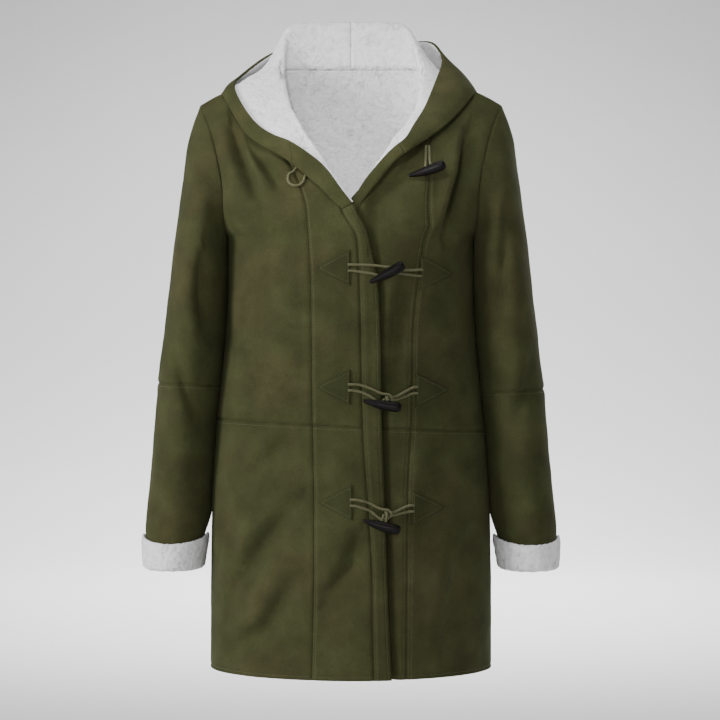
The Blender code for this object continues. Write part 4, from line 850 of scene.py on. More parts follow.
def makeCamera():
    data = bpy.data.cameras.new("camera")
    data.lens = view["sensor"] * view["distance"] / view["framed"]
    data.sensor_width = view["sensor"]
    camera = bpy.data.objects.new("camera", data)
    camera.location = (view["x"], -view["distance"], view["z"])
    camera.rotation_euler = (math.radians(90.0), 0.0, 0.0)
    bpy.context.scene.collection.objects.link(camera)
    bpy.context.scene.camera = camera


lights = [
    # name, place, aimed at, size across, size up, watts
    ("key_softbox", (-3.0, -1.7, 0.5), (0.0, 0.0, -0.35), 1.0, 1.5, 102.0),
    ("front_fill", (-0.3, -3.6, 0.0), (0.0, 0.0, -0.3), 1.2, 1.6, 27.0),
    ("top_softbox", (0.0, -0.4, 2.6), (0.0, 0.0, -0.2), 1.6, 1.6, 28.0),
    ("back_softbox", (1.6, 3.0, 1.2), (0.0, 0.0, -0.4), 1.8, 1.8, 45.0),
]
spots = [
    # name, place, aimed at, cone in degrees, blend, radius, watts
    ("neck_spot", (-0.4, -2.28, 1.1), (0.012, 0.05, -0.10), 8.5, 0.7, 0.1, 200.0),
    ("backdrop_glow", (0.0, 3.0, 2.0), (0.0, 5.0, -1.0), 100.0, 1.0, 0.5, 540.0),
    ("floor_glow", (0.0, 2.2, 1.6), (0.0, 2.9, -1.0), 96.0, 1.0, 0.5, 620.0),
]
surround = 0.21             # strength of the even light from all sides


def placeLamp(data, place, aim):
    lamp = bpy.data.objects.new(data.name, data)
    lamp.location = place
    lamp.rotation_euler = (Vector(aim) - Vector(place)).to_track_quat("-Z", "Y").to_euler()
    bpy.context.scene.collection.objects.link(lamp)


def makeLights():
    for name, place, aim, across, up, watts in lights:
        data = bpy.data.lights.new(name, "AREA")
        data.shape = "RECTANGLE"
        data.size, data.size_y, data.energy = across, up, watts
        placeLamp(data, place, aim)
    for name, place, aim, cone, blend, radius, watts in spots:
        data = bpy.data.lights.new(name, "SPOT")
        data.energy, data.spot_size, data.spot_blend = watts, math.radians(cone), blend
        data.shadow_soft_size = radius
        placeLamp(data, place, aim)
    world = bpy.data.worlds.new("studio")
    world.use_nodes = True
    background = world.node_tree.nodes["Background"]
    background.inputs["Color"].default_value = (1.0, 1.0, 1.0, 1.0)
    background.inputs["Strength"].default_value = surround
    bpy.context.scene.world = world


# a round floor whose rim turns up into a wall, in metres
stageShape = {"floor": -1.0, "radius": 6.0, "cove": 2.2, "top": 3.5, "coveSteps": 12, "sides": 64}


def makeStage():
    radius, cove = stageShape["radius"], stageShape["cove"]
    profile = [(0.001, 0.0), (radius - cove, 0.0)]
    for step in range(1, stageShape["coveSteps"] + 1):
        turn = math.pi / 2.0 * step / stageShape["coveSteps"]
        profile.append((radius - cove * (1.0 - math.sin(turn)), cove * (1.0 - math.cos(turn))))
    profile.append((radius, stageShape["top"]))
    turns = np.linspace(0.0, 2.0 * math.pi, stageShape["sides"] + 1)
    points = np.array([[(r * math.sin(t), r * math.cos(t), z + stageShape["floor"]) for t in turns]
                       for r, z in profile]) / mm
    inward = np.zeros_like(points)
    inward[:, :, 2] = 1.0
    piece = addGrid("studio_floor", points, inward, closed=True)
    piece.data.shade_smooth()
    # seamless background paper: matt, and very slightly uneven in tone
    material, shader, place = newMaterial("studio_paper", {"Roughness": 0.9, "Specular IOR Level": 0.1})
    mottle = addNode(material, "ShaderNodeTexNoise", inputs={"Scale": 2.0}, links={"Vector": place})
    ramp = addNode(material, "ShaderNodeValToRGB", links={"Fac": mottle.outputs["Fac"]})
    setRamp(ramp, [(0.0, "ebebec"), (1.0, "f0f0f1")])
    piece.data.materials.append(joinShader(material, shader, ramp.outputs["Color"]))


makeCamera()
makeLights()
makeStage()
print("camera, lights and floor placed")


# The neckline is shared by the body and the hood. Its stations run from 0 at the V point over the neck
# point at the shoulder to the centre back.
neckStation, stationsPerU = 4.0, 8.0


def backU(station):
    return 0.5 + (station - neckStation) / stationsPerU


def neckPoint(side, station):
    if station >= neckStation:
        return Vector(backTop(side, [backU(station)])[0])
    row = vRow + station
    return Vector(bodyLine("front", side, row, np.array([centreU(side, row)]), fine=False)[0][0])


def hoodPoints(side, station):
    row = hoodRow(side, station)
    ridge, bottom, edge = (Vector((side * row[i], row[i + 1], row[i + 2])) for i in (1, 4, 7))
    return ridge, ridge.lerp(bottom, 0.5) + Vector((0.0, 0.0, row[10])), bottom, edge


# walls beside the shoulder seam, which front and back share; vertices and distances run from it down
def shoulderMitres(face, side, u, vertices, distances):
    onFront, onBack = (u, u / 2.0) if face == "front" else (2.0 * u, u)
    front = plainNormals("front", side, float(shoulderRow), np.array([onFront]))[0]
    back = plainNormals("back", side, float(shoulderRow), np.array([onBack]))[0]
    vector = unit(front + back) * cloth["wall"] * cloth["shoulderWall"]
    return [(vertex, vertices[0], vector) for vertex, distance in zip(vertices, distances)
            if distance < cloth["shoulderReach"]]


# the wall where the body meets the strip that stands up from it, as a vector
def neckMitre(side, station):
    low, high = max(station - 0.1, hood["rows"][side][0][0]), min(station + 0.1, hood["end"])
    along = neckPoint(side, high) - neckPoint(side, low)
    stand = (along.cross(hoodPoints(side, station)[0] - neckPoint(side, station)) * side).normalized()
    if station >= neckStation:
        outward = plainNormals("back", side, float(shoulderRow), np.array([backU(station)]))[0]
    else:
        row = vRow + station
        outward = plainNormals("front", side, row, np.array([centreU(side, row)]))[0]
    mitre = Vector(outward) + stand
    if station > hood["end"] - 1e-6:
        mitre.x = 0.0
    return mitre.normalized() * cloth["wall"]


skins = {}                  # outer grid of each piece, which the hood and trims are laid on
stitchRuns = []             # points and normals of each run of topstitching


# rows of the grid between two named rows, spaced as they lie on the middle of the front
def rowSteps(low, high):
    fine = np.linspace(low, high, 200)
    line = np.array([plainLine("front", -1, float(row), np.array([0.5]))[0] for row in fine])
    lengths = runLengths(line)
    shares = seamSteps(lengths[-1], cloth["grid"])
    return [round(float(row), 5) for row in np.interp(shares * lengths[-1], lengths, fine)]


lowerRows, upperRows = rowSteps(hemRow, waistRow), rowSteps(waistRow, shoulderRow)


# sinks the grid line beside an edge a little and keeps it as a run of stitches
def topstitch(points, normals, edge, where=None):
    column, dip = cloth["stitchColumn"], cloth["stitchDip"]
    if edge in ("low", "high"):
        points, normals = points.transpose(1, 0, 2), normals.transpose(1, 0, 2)
    column = column if edge in ("left", "low") else points.shape[1] - 1 - column
    where = np.arange(points.shape[0]) if where is None else np.nonzero(where)[0]
    for offset, share in ((-1, 0.35), (0, 1.0), (1, 0.35)):
        points[where, column + offset] -= normals[where, column + offset] * dip * share
    stitchRuns.append((points[where, column].copy(), normals[where, column].copy()))


# the cloth swells beside the armhole seam, which stays in place because body and sleeve share it
def armholeRise(distance, row):
    beside = 1.0 - np.exp(-(distance / cloth["seamWidth"]) ** 2)
    rise = cloth["armholePuff"] * beside * np.exp(-(distance / cloth["armholeWidth"]) ** 2)
    return rise * smoothstep((row - underarmRow - 0.2) / 0.6) * smoothstep((shoulderRow - row) / 0.4)


# sewn weighs the seam at the left, right, low and high edges, and calm says how plain the cloth stays
# there; armholes is (rows of the grid, how many of its sides have an armhole)
def finishPanel(name, points, normals, sewn, calm, pile=0.0, mitres=(), stitched=(), armholes=None):
    distances = edgeDistances(points)
    still = np.ones(points.shape[:2])
    for weight, distance in zip(calm, distances):
        still = still * (1.0 - weight * (1.0 - smoothstep(distance / cloth["calmWidth"])))
    points = addWrinkles(points, normals, still)
    ends = [1.0 - weight * (1.0 - smoothstep(distance / cloth["seamEnd"]))
            for weight, distance in zip(calm, distances)]
    rise = (sewn[0] * seamShape(distances[0]) + sewn[1] * seamShape(distances[1])
            + (sewn[2] * seamShape(distances[2]) + sewn[3] * seamShape(distances[3]) * ends[0] * ends[1]))
    if armholes:
        heights, sides = armholes
        rise = rise + armholeRise(np.minimum.reduce(distances[:sides]), heights)
    points = points + normals * rise[:, :, None]
    for edge, where in stitched:
        topstitch(points, normals, edge, where)
    skins[name] = points
    piece = addGrid(name + "_cloth", points, normals)
    thicken(piece, pile, mitres)
    dressPiece(piece, name)


def dressPiece(piece, name):
    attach(piece, "root")
    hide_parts(name)


# grid points of one column beside the top edge, from that edge down
def topVertices(rows, columns, column):
    last = len(rows) - 1
    return [index * columns + column for index in range(last, last - cloth["mitreRows"], -1)]


def makePanel(name, side, rows, edges, width, sewn, calm, mitred=False, stitched=(), armholes=None):
    shares = seamSteps(width, cloth["grid"] * cloth["frontGrid"][side])
    points, normals = [], []
    for row in rows:
        low, high = edges(row)
        line, outward = bodyLine("front", side, row, low + (high - low) * shares)
        points.append(line)
        normals.append(outward)
    columns = len(shares)
    edgeVertices = [(index * columns + columns - 1, row) for index, row in enumerate(rows)]
    mitres = [(vertex, vertex, neckMitre(side, row - vRow)) for vertex, row in edgeVertices
              if mitred and row > vRow + 0.3]
    if rows[-1] == shoulderRow:
        low, high = edges(rows[-1])
        fromSeam = edgeDistances(np.array(points))[3]
        for column, u in enumerate(low + (high - low) * shares):
            if not (mitred and column == columns - 1):
                vertices = topVertices(rows, columns, column)
                mitres += shoulderMitres("front", side, u, vertices, fromSeam[::-1, column])
    finishPanel(name, np.array(points), np.array(normals), sewn, calm, mitres=mitres, stitched=stitched,
                armholes=armholes)


def sideSeams(row):
    return cloth["sideSeam"] * (1.0 - smoothstep(row - underarmRow + 1.0))


def makeFronts():
    for side, label, princess in ((-1, "right", rightPrincess), (1, "left", leftPrincess)):
        def sideEdges(row, side=side, princess=princess):
            return 0.0, seamU(princess, side, row)

        def centreEdges(row, side=side, princess=princess):
            return seamU(princess, side, row), centreU(side, row)

        for part, rows in (("lower", lowerRows), ("upper", upperRows)):
            above = part == "upper"
            heights = np.array(rows)[:, None]
            sideSeam = sideSeams(heights)
            princessSeam = smoothstep((shoulderRow - heights) / 0.4) if above else 1.0
            seamAtPlacket = (1.0 - smoothstep((heights - vRow) / 0.6)) * (1.0 if side < 0 else 0.0)
            neckline = smoothstep((heights - vRow) / 0.5)
            low, high = (1.0, 0.6) if above else (0.0, 1.0)
            level = [] if above else [("high", None), ("low", None)]
            seen = heights[:, 0] < shoulderRow - 0.6
            makePanel(f"{label}_front_side_{part}", side, rows, sideEdges, cloth["widths"]["side"],
                      (sideSeam, princessSeam, low, high), (1.0, 0.0, 0.0, float(above)),
                      stitched=level + ([("right", seen)] if side > 0 else []), armholes=(heights, 1))
            makePanel(f"{label}_front_centre_{part}", side, rows, centreEdges, cloth["widths"]["centre"],
                      (princessSeam, seamAtPlacket, low, high), (0.0, neckline, 0.0, float(above)),
                      mitred=above, stitched=level + [("left", seen)])
    skins["right_placket"] = placketLines()[1]


placket = {
    "width": 23.0,
    "behind": 0.8,          # its top lies this far behind the rolled edge's face
    "turn": 6.0,            # width over which that top leaves the seam
    "blend": 1.0,           # rows over which it closes up to the rolled edge
}


def placketLines():
    rows = [row for row in lowerRows + upperRows[1:] if row < vRow - 0.05] + [float(vRow)]
    shares = seamSteps(placket["width"], cloth["grid"])
    points, normals = [], []
    for row in rows:
        low, high = seamU(placketSeam, -1, row), seamU(lapEdge, -1, row)
        line, outward = bodyLine("front", -1, row, low + (high - low) * shares)
        points.append(line)
        normals.append(outward)
    return rows, np.array(points), np.array(normals)


# the placket turns into the rolled edge above it: its top lines close up to that edge's first section
def makePlacket():
    rows, points, normals = placketLines()
    section = skins["right_neck_band"][0][sum(hood["steps"][:4]):]
    lengths = runLengths(section)
    shares = seamSteps(placket["width"], cloth["grid"])
    marks = shares * lengths[-1]
    top = np.stack([np.interp(marks, lengths, section[:, axis]) for axis in range(3)], axis=1)
    top[:, 1] += placket["behind"]
    turned = smoothstep(shares * placket["width"] / placket["turn"])
    top = points[-1] + (top - points[-1]) * turned[:, None]
    for index, row in enumerate(rows):
        share = float(smoothstep((row - vRow + placket["blend"]) / placket["blend"]))
        points[index] = points[index] + (top - points[-1]) * share if index < len(rows) - 1 else top
    finishPanel("right_placket", points, normals, (1.0, 1.0, 0.0, 0.0), (0.0, 0.0, 0.0, 1.0),
                stitched=[("left", None), ("right", None)])


def makeBack():
    shares = seamSteps(cloth["widths"]["back"], cloth["grid"], high=False)
    for part, rows in (("lower", lowerRows), ("upper", upperRows)):
        points, normals = [], []
        for row in rows:
            line, outward = bodyLine("back", -1, row, shares)
            mirror, outwardMirror = bodyLine("back", 1, row, shares[-2::-1])
            points.append(np.concatenate([line, mirror]))
            normals.append(np.concatenate([outward, outwardMirror]))
        above = part == "upper"
        heights = np.array(rows)[:, None]
        sideSeam = sideSeams(heights)
        columns = 2 * len(shares) - 1
        mitres = []
        fromSeam = edgeDistances(np.array(points))[3]
        for index in range(columns if above else 0):
            share = shares[min(index, columns - 1 - index)]
            side = -1 if index < len(shares) else 1
            vertices = topVertices(rows, columns, index)
            if share > 0.5:
                mitre = neckMitre(side, neckStation + stationsPerU * (share - 0.5))
                mitres.append((vertices[0], vertices[0], mitre))
            else:
                mitres += shoulderMitres("back", side, share, vertices, fromSeam[::-1, index])
        # the shoulder seam shows up to the neckline, which the hood covers
        shoulder = np.array([0.0 if shares[min(i, columns - 1 - i)] > 0.46 else 0.6
                             for i in range(columns)])
        finishPanel("back_" + part, np.array(points), np.array(normals),
                    (sideSeam, sideSeam, float(above), shoulder[None, :] if above else 1.0),
                    (1.0, 1.0, 0.0, float(above)), cloth["backPile"] if above else 0.0, mitres,
                    [] if above else [("high", None), ("low", None)], (heights, 2))


def makeSleeves():
    angles = np.linspace(0.0, 360.0, sleeve["columns"] + 1)
    for side, label in ((-1, "right"), (1, "left")):
        for part, low, high in (("upper", 0.0, elbowRing), ("lower", elbowRing, wristRing)):
            above = part == "upper"
            shares = seamSteps(sleeve["lengths"][part], cloth["grid"], high=above)
            points, normals = [], []
            for ring in low + (high - low) * shares:
                line, outward = sleeveLine(side, float(ring), angles)
                points.append(line)
                normals.append(outward)
            points, normals = np.array(points), np.array(normals)
            _, _, fromLow, fromHigh = edgeDistances(points)
            still = smoothstep(fromLow / sleeve["calmWidth"]) if above else 1.0
            still = still * (1.0 - np.exp(-((angles - 180.0) / sleeve["calmAngle"]) ** 2))
            points = addWrinkles(points, normals, still)
            rise = seamShape(fromHigh if above else fromLow)
            rise = rise * (1.0 - np.exp(-((angles - 180.0) / sleeve["seamAngle"]) ** 2))
            if above:
                rise = rise + armholeRise(fromLow, shoulderRow - np.minimum(angles, 360.0 - angles) / 30.0)
            points = points + normals * rise[:, :, None]
            points[:, -1] = points[:, 0]
            if not above:
                topstitch(points, normals, "low")
            name = f"{label}_sleeve_{part}"
            skins[name] = points
            piece = addGrid(name + "_cloth", points, normals, closed=True)
            thicken(piece)
            dressPiece(piece, name)


makeFronts()
makeBack()
print("body panels made")
makeSleeves()
print("sleeves made")

cuff = {
    "wall": 4.2,
    "clear": 0.5,           # outside the sleeve
    "pile": 1.7,
    "curlSize": 5.2,
    "columns": 150,
    "arc": 0.26,            # its top edge dips at front and back
    "steps": (2, 2, 1, 2, 3, 4, 5, 6, 6, 3, 2),         # grid steps between the points of its profile
    "plainStretches": 3,    # the first ones lie on the sleeve and have no pile
}


def makeCuffs():
    wall, clear, lining = cuff["wall"], cuff["clear"], cloth["wall"]
    profile = [
        # ring, distance out from the sleeve, drop below the ring
        (10.12, clear, 0.0),
        (10.6, clear, 0.0),
        (11.0, clear, 0.35),
        (11.0, -lining, 0.35),
        (11.0, -lining * 0.9, wall * 0.8),
        (11.0, 0.0, wall * 1.15),
        (11.0, clear + wall * 0.8, wall * 0.6),
        (10.8, clear + wall * 1.2, 0.0),
        (10.5, clear + wall * 1.1, 0.0),
        (10.2, clear + wall * 1.0, 0.0),
        (10.08, clear + wall * 0.6, 0.0),
        (10.12, clear, 0.0),
    ]
    angles = np.linspace(0.0, 360.0, cuff["columns"] + 1)
    for side, label in ((-1, "right"), (1, "left")):
        above, below = sleeveSurface(side, 10.0, angles), sleeveSurface(side, 11.0, angles)
        aboveNormals, belowNormals = sleeveNormals(side, 10.0, angles), sleeveNormals(side, 11.0, angles)
        arc = cuff["arc"] * np.abs(np.sin(np.radians(angles)))
        lines = []
        for ring, out, drop in profile:
            share = ring - 10.0 + arc * (11.0 - ring)
            surface = above + (below - above) * share[:, None]
            normals = unit(aboveNormals + (belowNormals - aboveNormals) * share[:, None])
            lines.append(surface + out * normals - (0.0, 0.0, drop))
        lines = np.array(lines)
        grid = np.array([[tuple(p) for p in curveThrough(list(lines[:, column]), cuff["steps"])]
                         for column in range(len(angles))]).transpose(1, 0, 2)
        normals = unit(np.cross(np.gradient(grid, axis=1), np.gradient(grid, axis=0))) * side
        fromSleeve = grid[-8] - sleeveSurface(side, 10.6, angles)
        if np.sum(normals[-8] * fromSleeve) < 0.0:
            normals = -normals
        shown = np.zeros(grid.shape[0])
        shown[sum(cuff["steps"][:cuff["plainStretches"]]):] = 1.0
        heights = curl(grid.reshape(-1, 3), cuff["curlSize"]).reshape(grid.shape[:2])
        grid = grid + normals * (heights * shown[:, None] * cuff["pile"])[:, :, None]
        grid[:, -1], grid[-1] = grid[:, 0], grid[0]
        piece = addGrid(f"{label}_cuff_fleece", grid, normals, closed=True)
        piece.data.materials.append(fleece)
        piece.data.shade_smooth()
        dressPiece(piece, f"{label}_cuff")


makeCuffs()
print("cuffs made")


# the pieces whose names start so, as one surface
def bodyTree(*starts):
    points, faces = [], []
    for name, grid in skins.items():
        if name.startswith(starts):
            start, (rows, width) = len(points), grid.shape[:2]
            points.extend(map(tuple, grid.reshape(-1, 3)))
            for r in range(rows - 1):
                for c in range(width - 1):
                    a = start + r * width + c
                    faces.append((a, a + 1, a + width + 1, a + width))
    return BVHTree.FromPolygons(points, faces)


# nearest place on the body and its normal, turned away from the wearer's middle
def bodyNormal(tree, point):
    place, normal, _, _ = tree.find_nearest(point)
    axis = Vector((0.0, 5.0, min(point.z - 60.0, -90.0)))       # inside the wearer, lower than the point
    return place, (-normal if normal.dot(place - axis) < 0.0 else normal)


# the point, moved out where it lies less than height above the body
def lifted(tree, point, height):
    place, normal = bodyNormal(tree, point)
    return point + normal * max(height - (point - place).dot(normal), 0.0)


# the point, moved out where it lies less than distance off a lower layer of the same section
def offLayer(point, layer, out, distance):
    best = None
    for start, end in zip(layer, layer[1:]):
        line = end - start
        share = min(max((point - start).dot(line) / line.length_squared, 0.0), 1.0)
        foot = start + share * line
        if best is None or (point - foot).length < (point - best).length:
            best = foot
    return point + out * max(distance - (point - best).dot(out), 0.0)


def rollBend(station):
    share = float(smoothstep(station / hood["bendStations"]))
    return hood["endBend"] + (hood["bend"] - hood["endBend"]) * share


# suede side of the roll at one station, from the neckline to the free edge
def hoodSection(tree, side, station):
    first, steps = hood["rows"][side][0][0], hood["steps"]
    ridge, between, bottom, edge = hoodPoints(side, station)
    before = hoodPoints(side, max(station - 0.2, first))[1]
    after = hoodPoints(side, min(station + 0.2, hood["end"]))[1]
    square = ((bottom - ridge).cross(after - before) * side).normalized()
    # on the band it stands off the body, and on the hood square to its own run
    blend = float(smoothstep(station - hood["start"] - 0.5))
    out = bodyNormal(tree, bottom)[1].lerp(square, blend).normalized()
    between = lifted(tree, between, hood["nearClear"])
    wide = rollBend(station)
    bend = bottom + (between - bottom).normalized() * wide / 2.0
    foot = bend - out * wide / 2.0
    rise = lifted(tree, foot, hood["nearClear"]) - foot
    foot, turn, heel = foot + rise, bottom + rise, bend + out * wide / 2.0 + rise
    near = curveThrough([neckPoint(side, station), ridge, between, foot], steps[0:3])
    nearCount = sum(steps[0:3])
    for index in range(steps[0] + 1, nearCount):
        near[index] = lifted(tree, near[index], hood["nearClear"])
    layer = near[steps[0]::4] + [near[-1]]
    outside = offLayer(heel.lerp(edge, 0.5) + out * hoodRow(side, station)[11], layer, out, wide)
    edge = offLayer(edge, layer, out, wide)
    far = curveThrough([near[0], ridge, between, foot, turn, heel, outside, edge], steps)
    section = near[:nearCount] + far[nearCount:]
    if station > hood["end"] - 1e-6:
        section = [Vector((0.0, point.y, point.z)) for point in section]
    return section


def makeHood():
    for side, label in ((-1, "right"), (1, "left")):
        tree = bodyTree(label, "back")
        first = hood["rows"][side][0][0]
        bandCount = hood["bandStations"]
        bandStations = np.linspace(first, hood["start"], bandCount + 1)
        hoodStations = np.linspace(hood["start"], hood["end"], hood["stations"] + 1)
        stations = np.concatenate([bandStations, hoodStations[1:]])
        stations = [round(float(value), 5) for value in stations]
        grid = np.array([[tuple(p) for p in hoodSection(tree, side, station)] for station in stations])
        turned = np.arange(grid.shape[1]) - sum(hood["steps"][:3])
        soft = smoothstep(turned / hood["softSteps"])[None, :, None] * hood["softness"]
        for _ in range(hood["smoothings"]):
            grid[1:-1] += soft * ((grid[:-2] + grid[2:]) / 2.0 - grid[1:-1])
        along, across = np.gradient(grid, axis=0), np.gradient(grid, axis=1)
        normals = unit(np.cross(along, across)) * side
        for _ in range(2):
            padded = np.pad(normals, ((1, 1), (1, 1), (0, 0)), mode="edge")
            beside = padded[:-2, 1:-1] + padded[2:, 1:-1] + padded[1:-1, :-2] + padded[1:-1, 2:]
            normals = unit(beside + 2.0 * padded[1:-1, 1:-1])
        normals[-1, :, 0] = 0.0
        normals[-1] = unit(normals[-1])
        walls = np.array([min(1.0, (rollBend(station) / hood["fullBend"]) ** 2) for station in stations])
        for name, start, end in ((f"{label}_neck_band", 0, bandCount + 1),
                                 (f"{label}_hood", bandCount, len(stations))):
            part = grid[start:end]
            skins[name] = part
            piece = addGrid(name + "_cloth", part, normals[start:end] * walls[start:end, None, None])
            mitres = []
            for index, station in enumerate(stations[start:end]):
                rise = hood["rimRise"] * unit(part[index, 3] - part[index, 0])
                vertex = index * part.shape[1]
                mitres.append((vertex, vertex, np.array(neckMitre(side, station)) + rise))
            thicken(piece, hood["pile"], mitres)
            dressPiece(piece, name)


makeHood()
makePlacket()
print("hood and placket made")

closures = [
    # right patch x, z, left patch x, z, eye of the loop x, z, tilt of the toggle in degrees
    (0.5, -248.0, 85.0, -253.0, 44.0, -252.6, 28.0),
    (0.5, -394.5, 79.5, -398.5, 42.0, -408.6, -10.0),
    (3.0, -536.5, 74.5, -544.5, 41.0, -550.3, -15.0),
]
neckTrim = {
    "tilt": 18.5,
    "cordTop": (97.0, -93.0),
    "cordBend": (95.0, -116.0),
    "loop": [(-65.5, -119.0), (-71.5, -126.5), (-76.5, -132.5), (-76.5, -140.0), (-71.5, -145.0),
             (-64.5, -145.5), (-58.5, -141.0), (-56.0, -134.5), (-53.0, -128.0)],
}
patch = {
    "height": 44.0,
    "length": 43.0,
    "taper": 0.9,           # below 1 its two long edges bow out
    "clear": 0.3,
    "wall": 1.8,
    "rim": 1.6,             # radius of its rounded edge
    "stitchIn": 2.6,
    "stitchSink": 0.35,
    "stitchWidth": 0.7,
    "leaf": 0.25,           # its own cloth, under which the wall is hollow
}
cord = {
    "radius": 1.75,
    "clear": 0.9,
    "layer": 4.0,           # one cord over another, centre to centre
    "strandHalf": 1.95,
    "patchStrands": 3.7,
    "loopHalf": 5.9,
    "plies": 3,
    "plyOffset": 0.464,     # a ply's middle from the cord's, as a share of its radius
    "pitch": 8.0,           # one turn of the plies
    "sides": 18,
    "step": 0.7,
    "curveSteps": 8,
    "onPatch": (-4.0, 1.2, 12.0),       # the loop's points from the patch's edge
    "offCloth": -19.0,      # where it leaves the cloth, from its eye's middle
    "eye": [
        # from the eye's middle, share of half the loop's width up or down
        (-2.0, 1.0), (6.0, 0.78), (9.3, 0.0), (6.0, -0.78), (-2.0, -1.0),
    ],
}
toggle = {
    "profile": [
        # distance along the axis from the middle, radius
        (-26.0, 0.0), (-25.8, 0.9), (-25.0, 1.9), (-21.0, 2.9), (-13.0, 4.3), (-5.5, 5.5), (4.0, 6.2),
        (13.0, 6.4), (18.0, 6.0), (20.6, 5.0), (21.9, 3.2), (22.2, 0.0),
    ],
    "segments": 32,
    "rings": 40,
    "bow": 1.1,             # how far the horn is bent
    "bowMiddle": 2.0,
    "bowReach": 26.0,
    "bowShift": 0.8,
    "behind": 12.9,         # the loop's cord behind the toggle's axis
    "holeReach": 3.6,       # two holes in its back, this far from the middle, joined inside
    "holeRadius": 2.1,
    "holeChamfer": 1.2,     # where the cord turns in them
}
trimTree = bodyTree("right_front", "left_front", "right_placket")


# the point at x and z that stands height above the fronts
def overBody(x, z, height):
    place, normal, _, _ = trimTree.ray_cast(Vector((x, -400.0, z)), Vector((0.0, 1.0, 0.0)))
    return place + (-normal if normal.y > 0.0 else normal) * height


# a pointed patch, from its upright edge at x to its point
def makePatch(name, x, z, side):
    shares = np.concatenate([[0.0, 0.01, 0.025, 0.04, 0.06], np.linspace(0.1, 0.9, 17),
                             [0.93, 0.96, 0.985]])
    places = np.array([-1.0, -0.98, -0.95, -0.91, -0.86, -0.8, -0.6, -0.4, -0.2, 0.0,
                       0.2, 0.4, 0.6, 0.8, 0.86, 0.91, 0.95, 0.98, 1.0])
    points = []
    for share in shares:
        half = patch["height"] / 2.0 * (1.0 - share) ** patch["taper"]
        line = []
        for value in places:
            edge = min(share * patch["length"], half * (1.0 - abs(value)) * 0.88 + 0.02)
            raised = math.sqrt(1.0 - (1.0 - min(edge / patch["rim"], 1.0)) ** 2)
            sunk = patch["stitchSink"] * math.exp(-((edge - patch["stitchIn"]) / patch["stitchWidth"]) ** 2)
            line.append(tuple(overBody(x + side * patch["length"] * share, z + half * value,
                                       patch["clear"] + patch["wall"] * raised - sunk)))
        points.append(line)
    points = np.array(points)
    outward = np.zeros_like(points)
    outward[:, :, 1] = -1.0
    piece = addGrid(name + "_suede", points, outward)
    piece.data.materials.append(patchSuede)
    applyModifier(piece, "SOLIDIFY", {"thickness": patch["leaf"] * mm, "offset": -1.0})
    piece.data.shade_smooth()
    dressPiece(piece, name)
    inside, top = patch["stitchIn"], patch["clear"] + patch["wall"] - 0.2
    tall = patch["height"] / 2.0
    corners = [(inside, tall - inside * 1.7), (inside, inside * 1.7 - tall),
               (patch["length"] - inside * 2.3, 0.0)]
    for (x0, z0), (x1, z1) in zip(corners, corners[1:] + corners[:1]):
        run = [tuple(overBody(x + side * (x0 + (x1 - x0) * f), z + z0 + (z1 - z0) * f, top))
               for f in np.linspace(0.0, 1.0, 14)]
        stitchRuns.append((np.array(run), np.tile((0.0, -1.0, 0.0), (len(run), 1))))


# the same path with points a step apart
def evenly(path, step):
    path = np.array([tuple(point) for point in path])
    lengths = runLengths(path)
    marks = np.linspace(0.0, lengths[-1], max(int(lengths[-1] / step), 4) + 1)
    return np.stack([np.interp(marks, lengths, path[:, axis]) for axis in range(3)], axis=1)


# a twisted cord of three plies along a path, closed at both ends
def makeCord(name, path):
    line = evenly(path, cord["step"])
    heading = unit(np.gradient(line, axis=0))
    across = np.zeros_like(line)
    start = np.cross(heading[0], (0.31, 0.52, 0.79))
    across[0] = start / np.linalg.norm(start)
    for index in range(1, len(line)):
        turned = across[index - 1] - heading[index] * np.dot(across[index - 1], heading[index])
        across[index] = turned / np.linalg.norm(turned)
    other = np.cross(heading, across)
    turns = np.linspace(0.0, 2.0 * math.pi, cord["sides"] + 1)
    third = 2.0 * math.pi / cord["plies"]
    offCentre = (turns + third / 2.0) % third - third / 2.0
    offset, plyRadius = cord["plyOffset"], 1.0 - cord["plyOffset"]
    lobes = offset * np.cos(offCentre) + np.sqrt(plyRadius ** 2 - (offset * np.sin(offCentre)) ** 2)
    lobes = lobes * cord["radius"]
    points = []
    for index, middle in enumerate(line):
        spun = turns + 2.0 * math.pi * index * cord["step"] / cord["pitch"]
        ring = np.cos(spun)[:, None] * across[index] + np.sin(spun)[:, None] * other[index]
        closed = 0.0 if index in (0, len(line) - 1) else 1.0
        points.append(middle + ring * lobes[:, None] * closed)
    points = np.array(points)
    points[:, -1] = points[:, 0]
    outward = points - line[:, None, :]
    piece = addGrid(name + "_twist", points, outward, closed=True)
    piece.data.materials.append(cordYarn)
    piece.data.shade_smooth()
    dressPiece(piece, name)


def toggleAxis(tilt):
    return Vector((math.cos(math.radians(tilt)), 0.0, math.sin(math.radians(tilt))))


# the point on the axis that the profile is measured from, read back from the solid's box
def toggleMiddle(name, tilt):
    low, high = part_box(name)
    cosine, sine = toggleAxis(tilt).x, toggleAxis(tilt).z
    reachX = [a * cosine + sign * r * sine for a, r in toggle["profile"] for sign in (-1, 1)]
    reachZ = [a * sine + sign * r * cosine for a, r in toggle["profile"] for sign in (-1, 1)]
    off = Vector(((min(reachX) + max(reachX)) / 2.0, 0.0, (min(reachZ) + max(reachZ)) / 2.0))
    return (low + high) / (2.0 * mm) - off


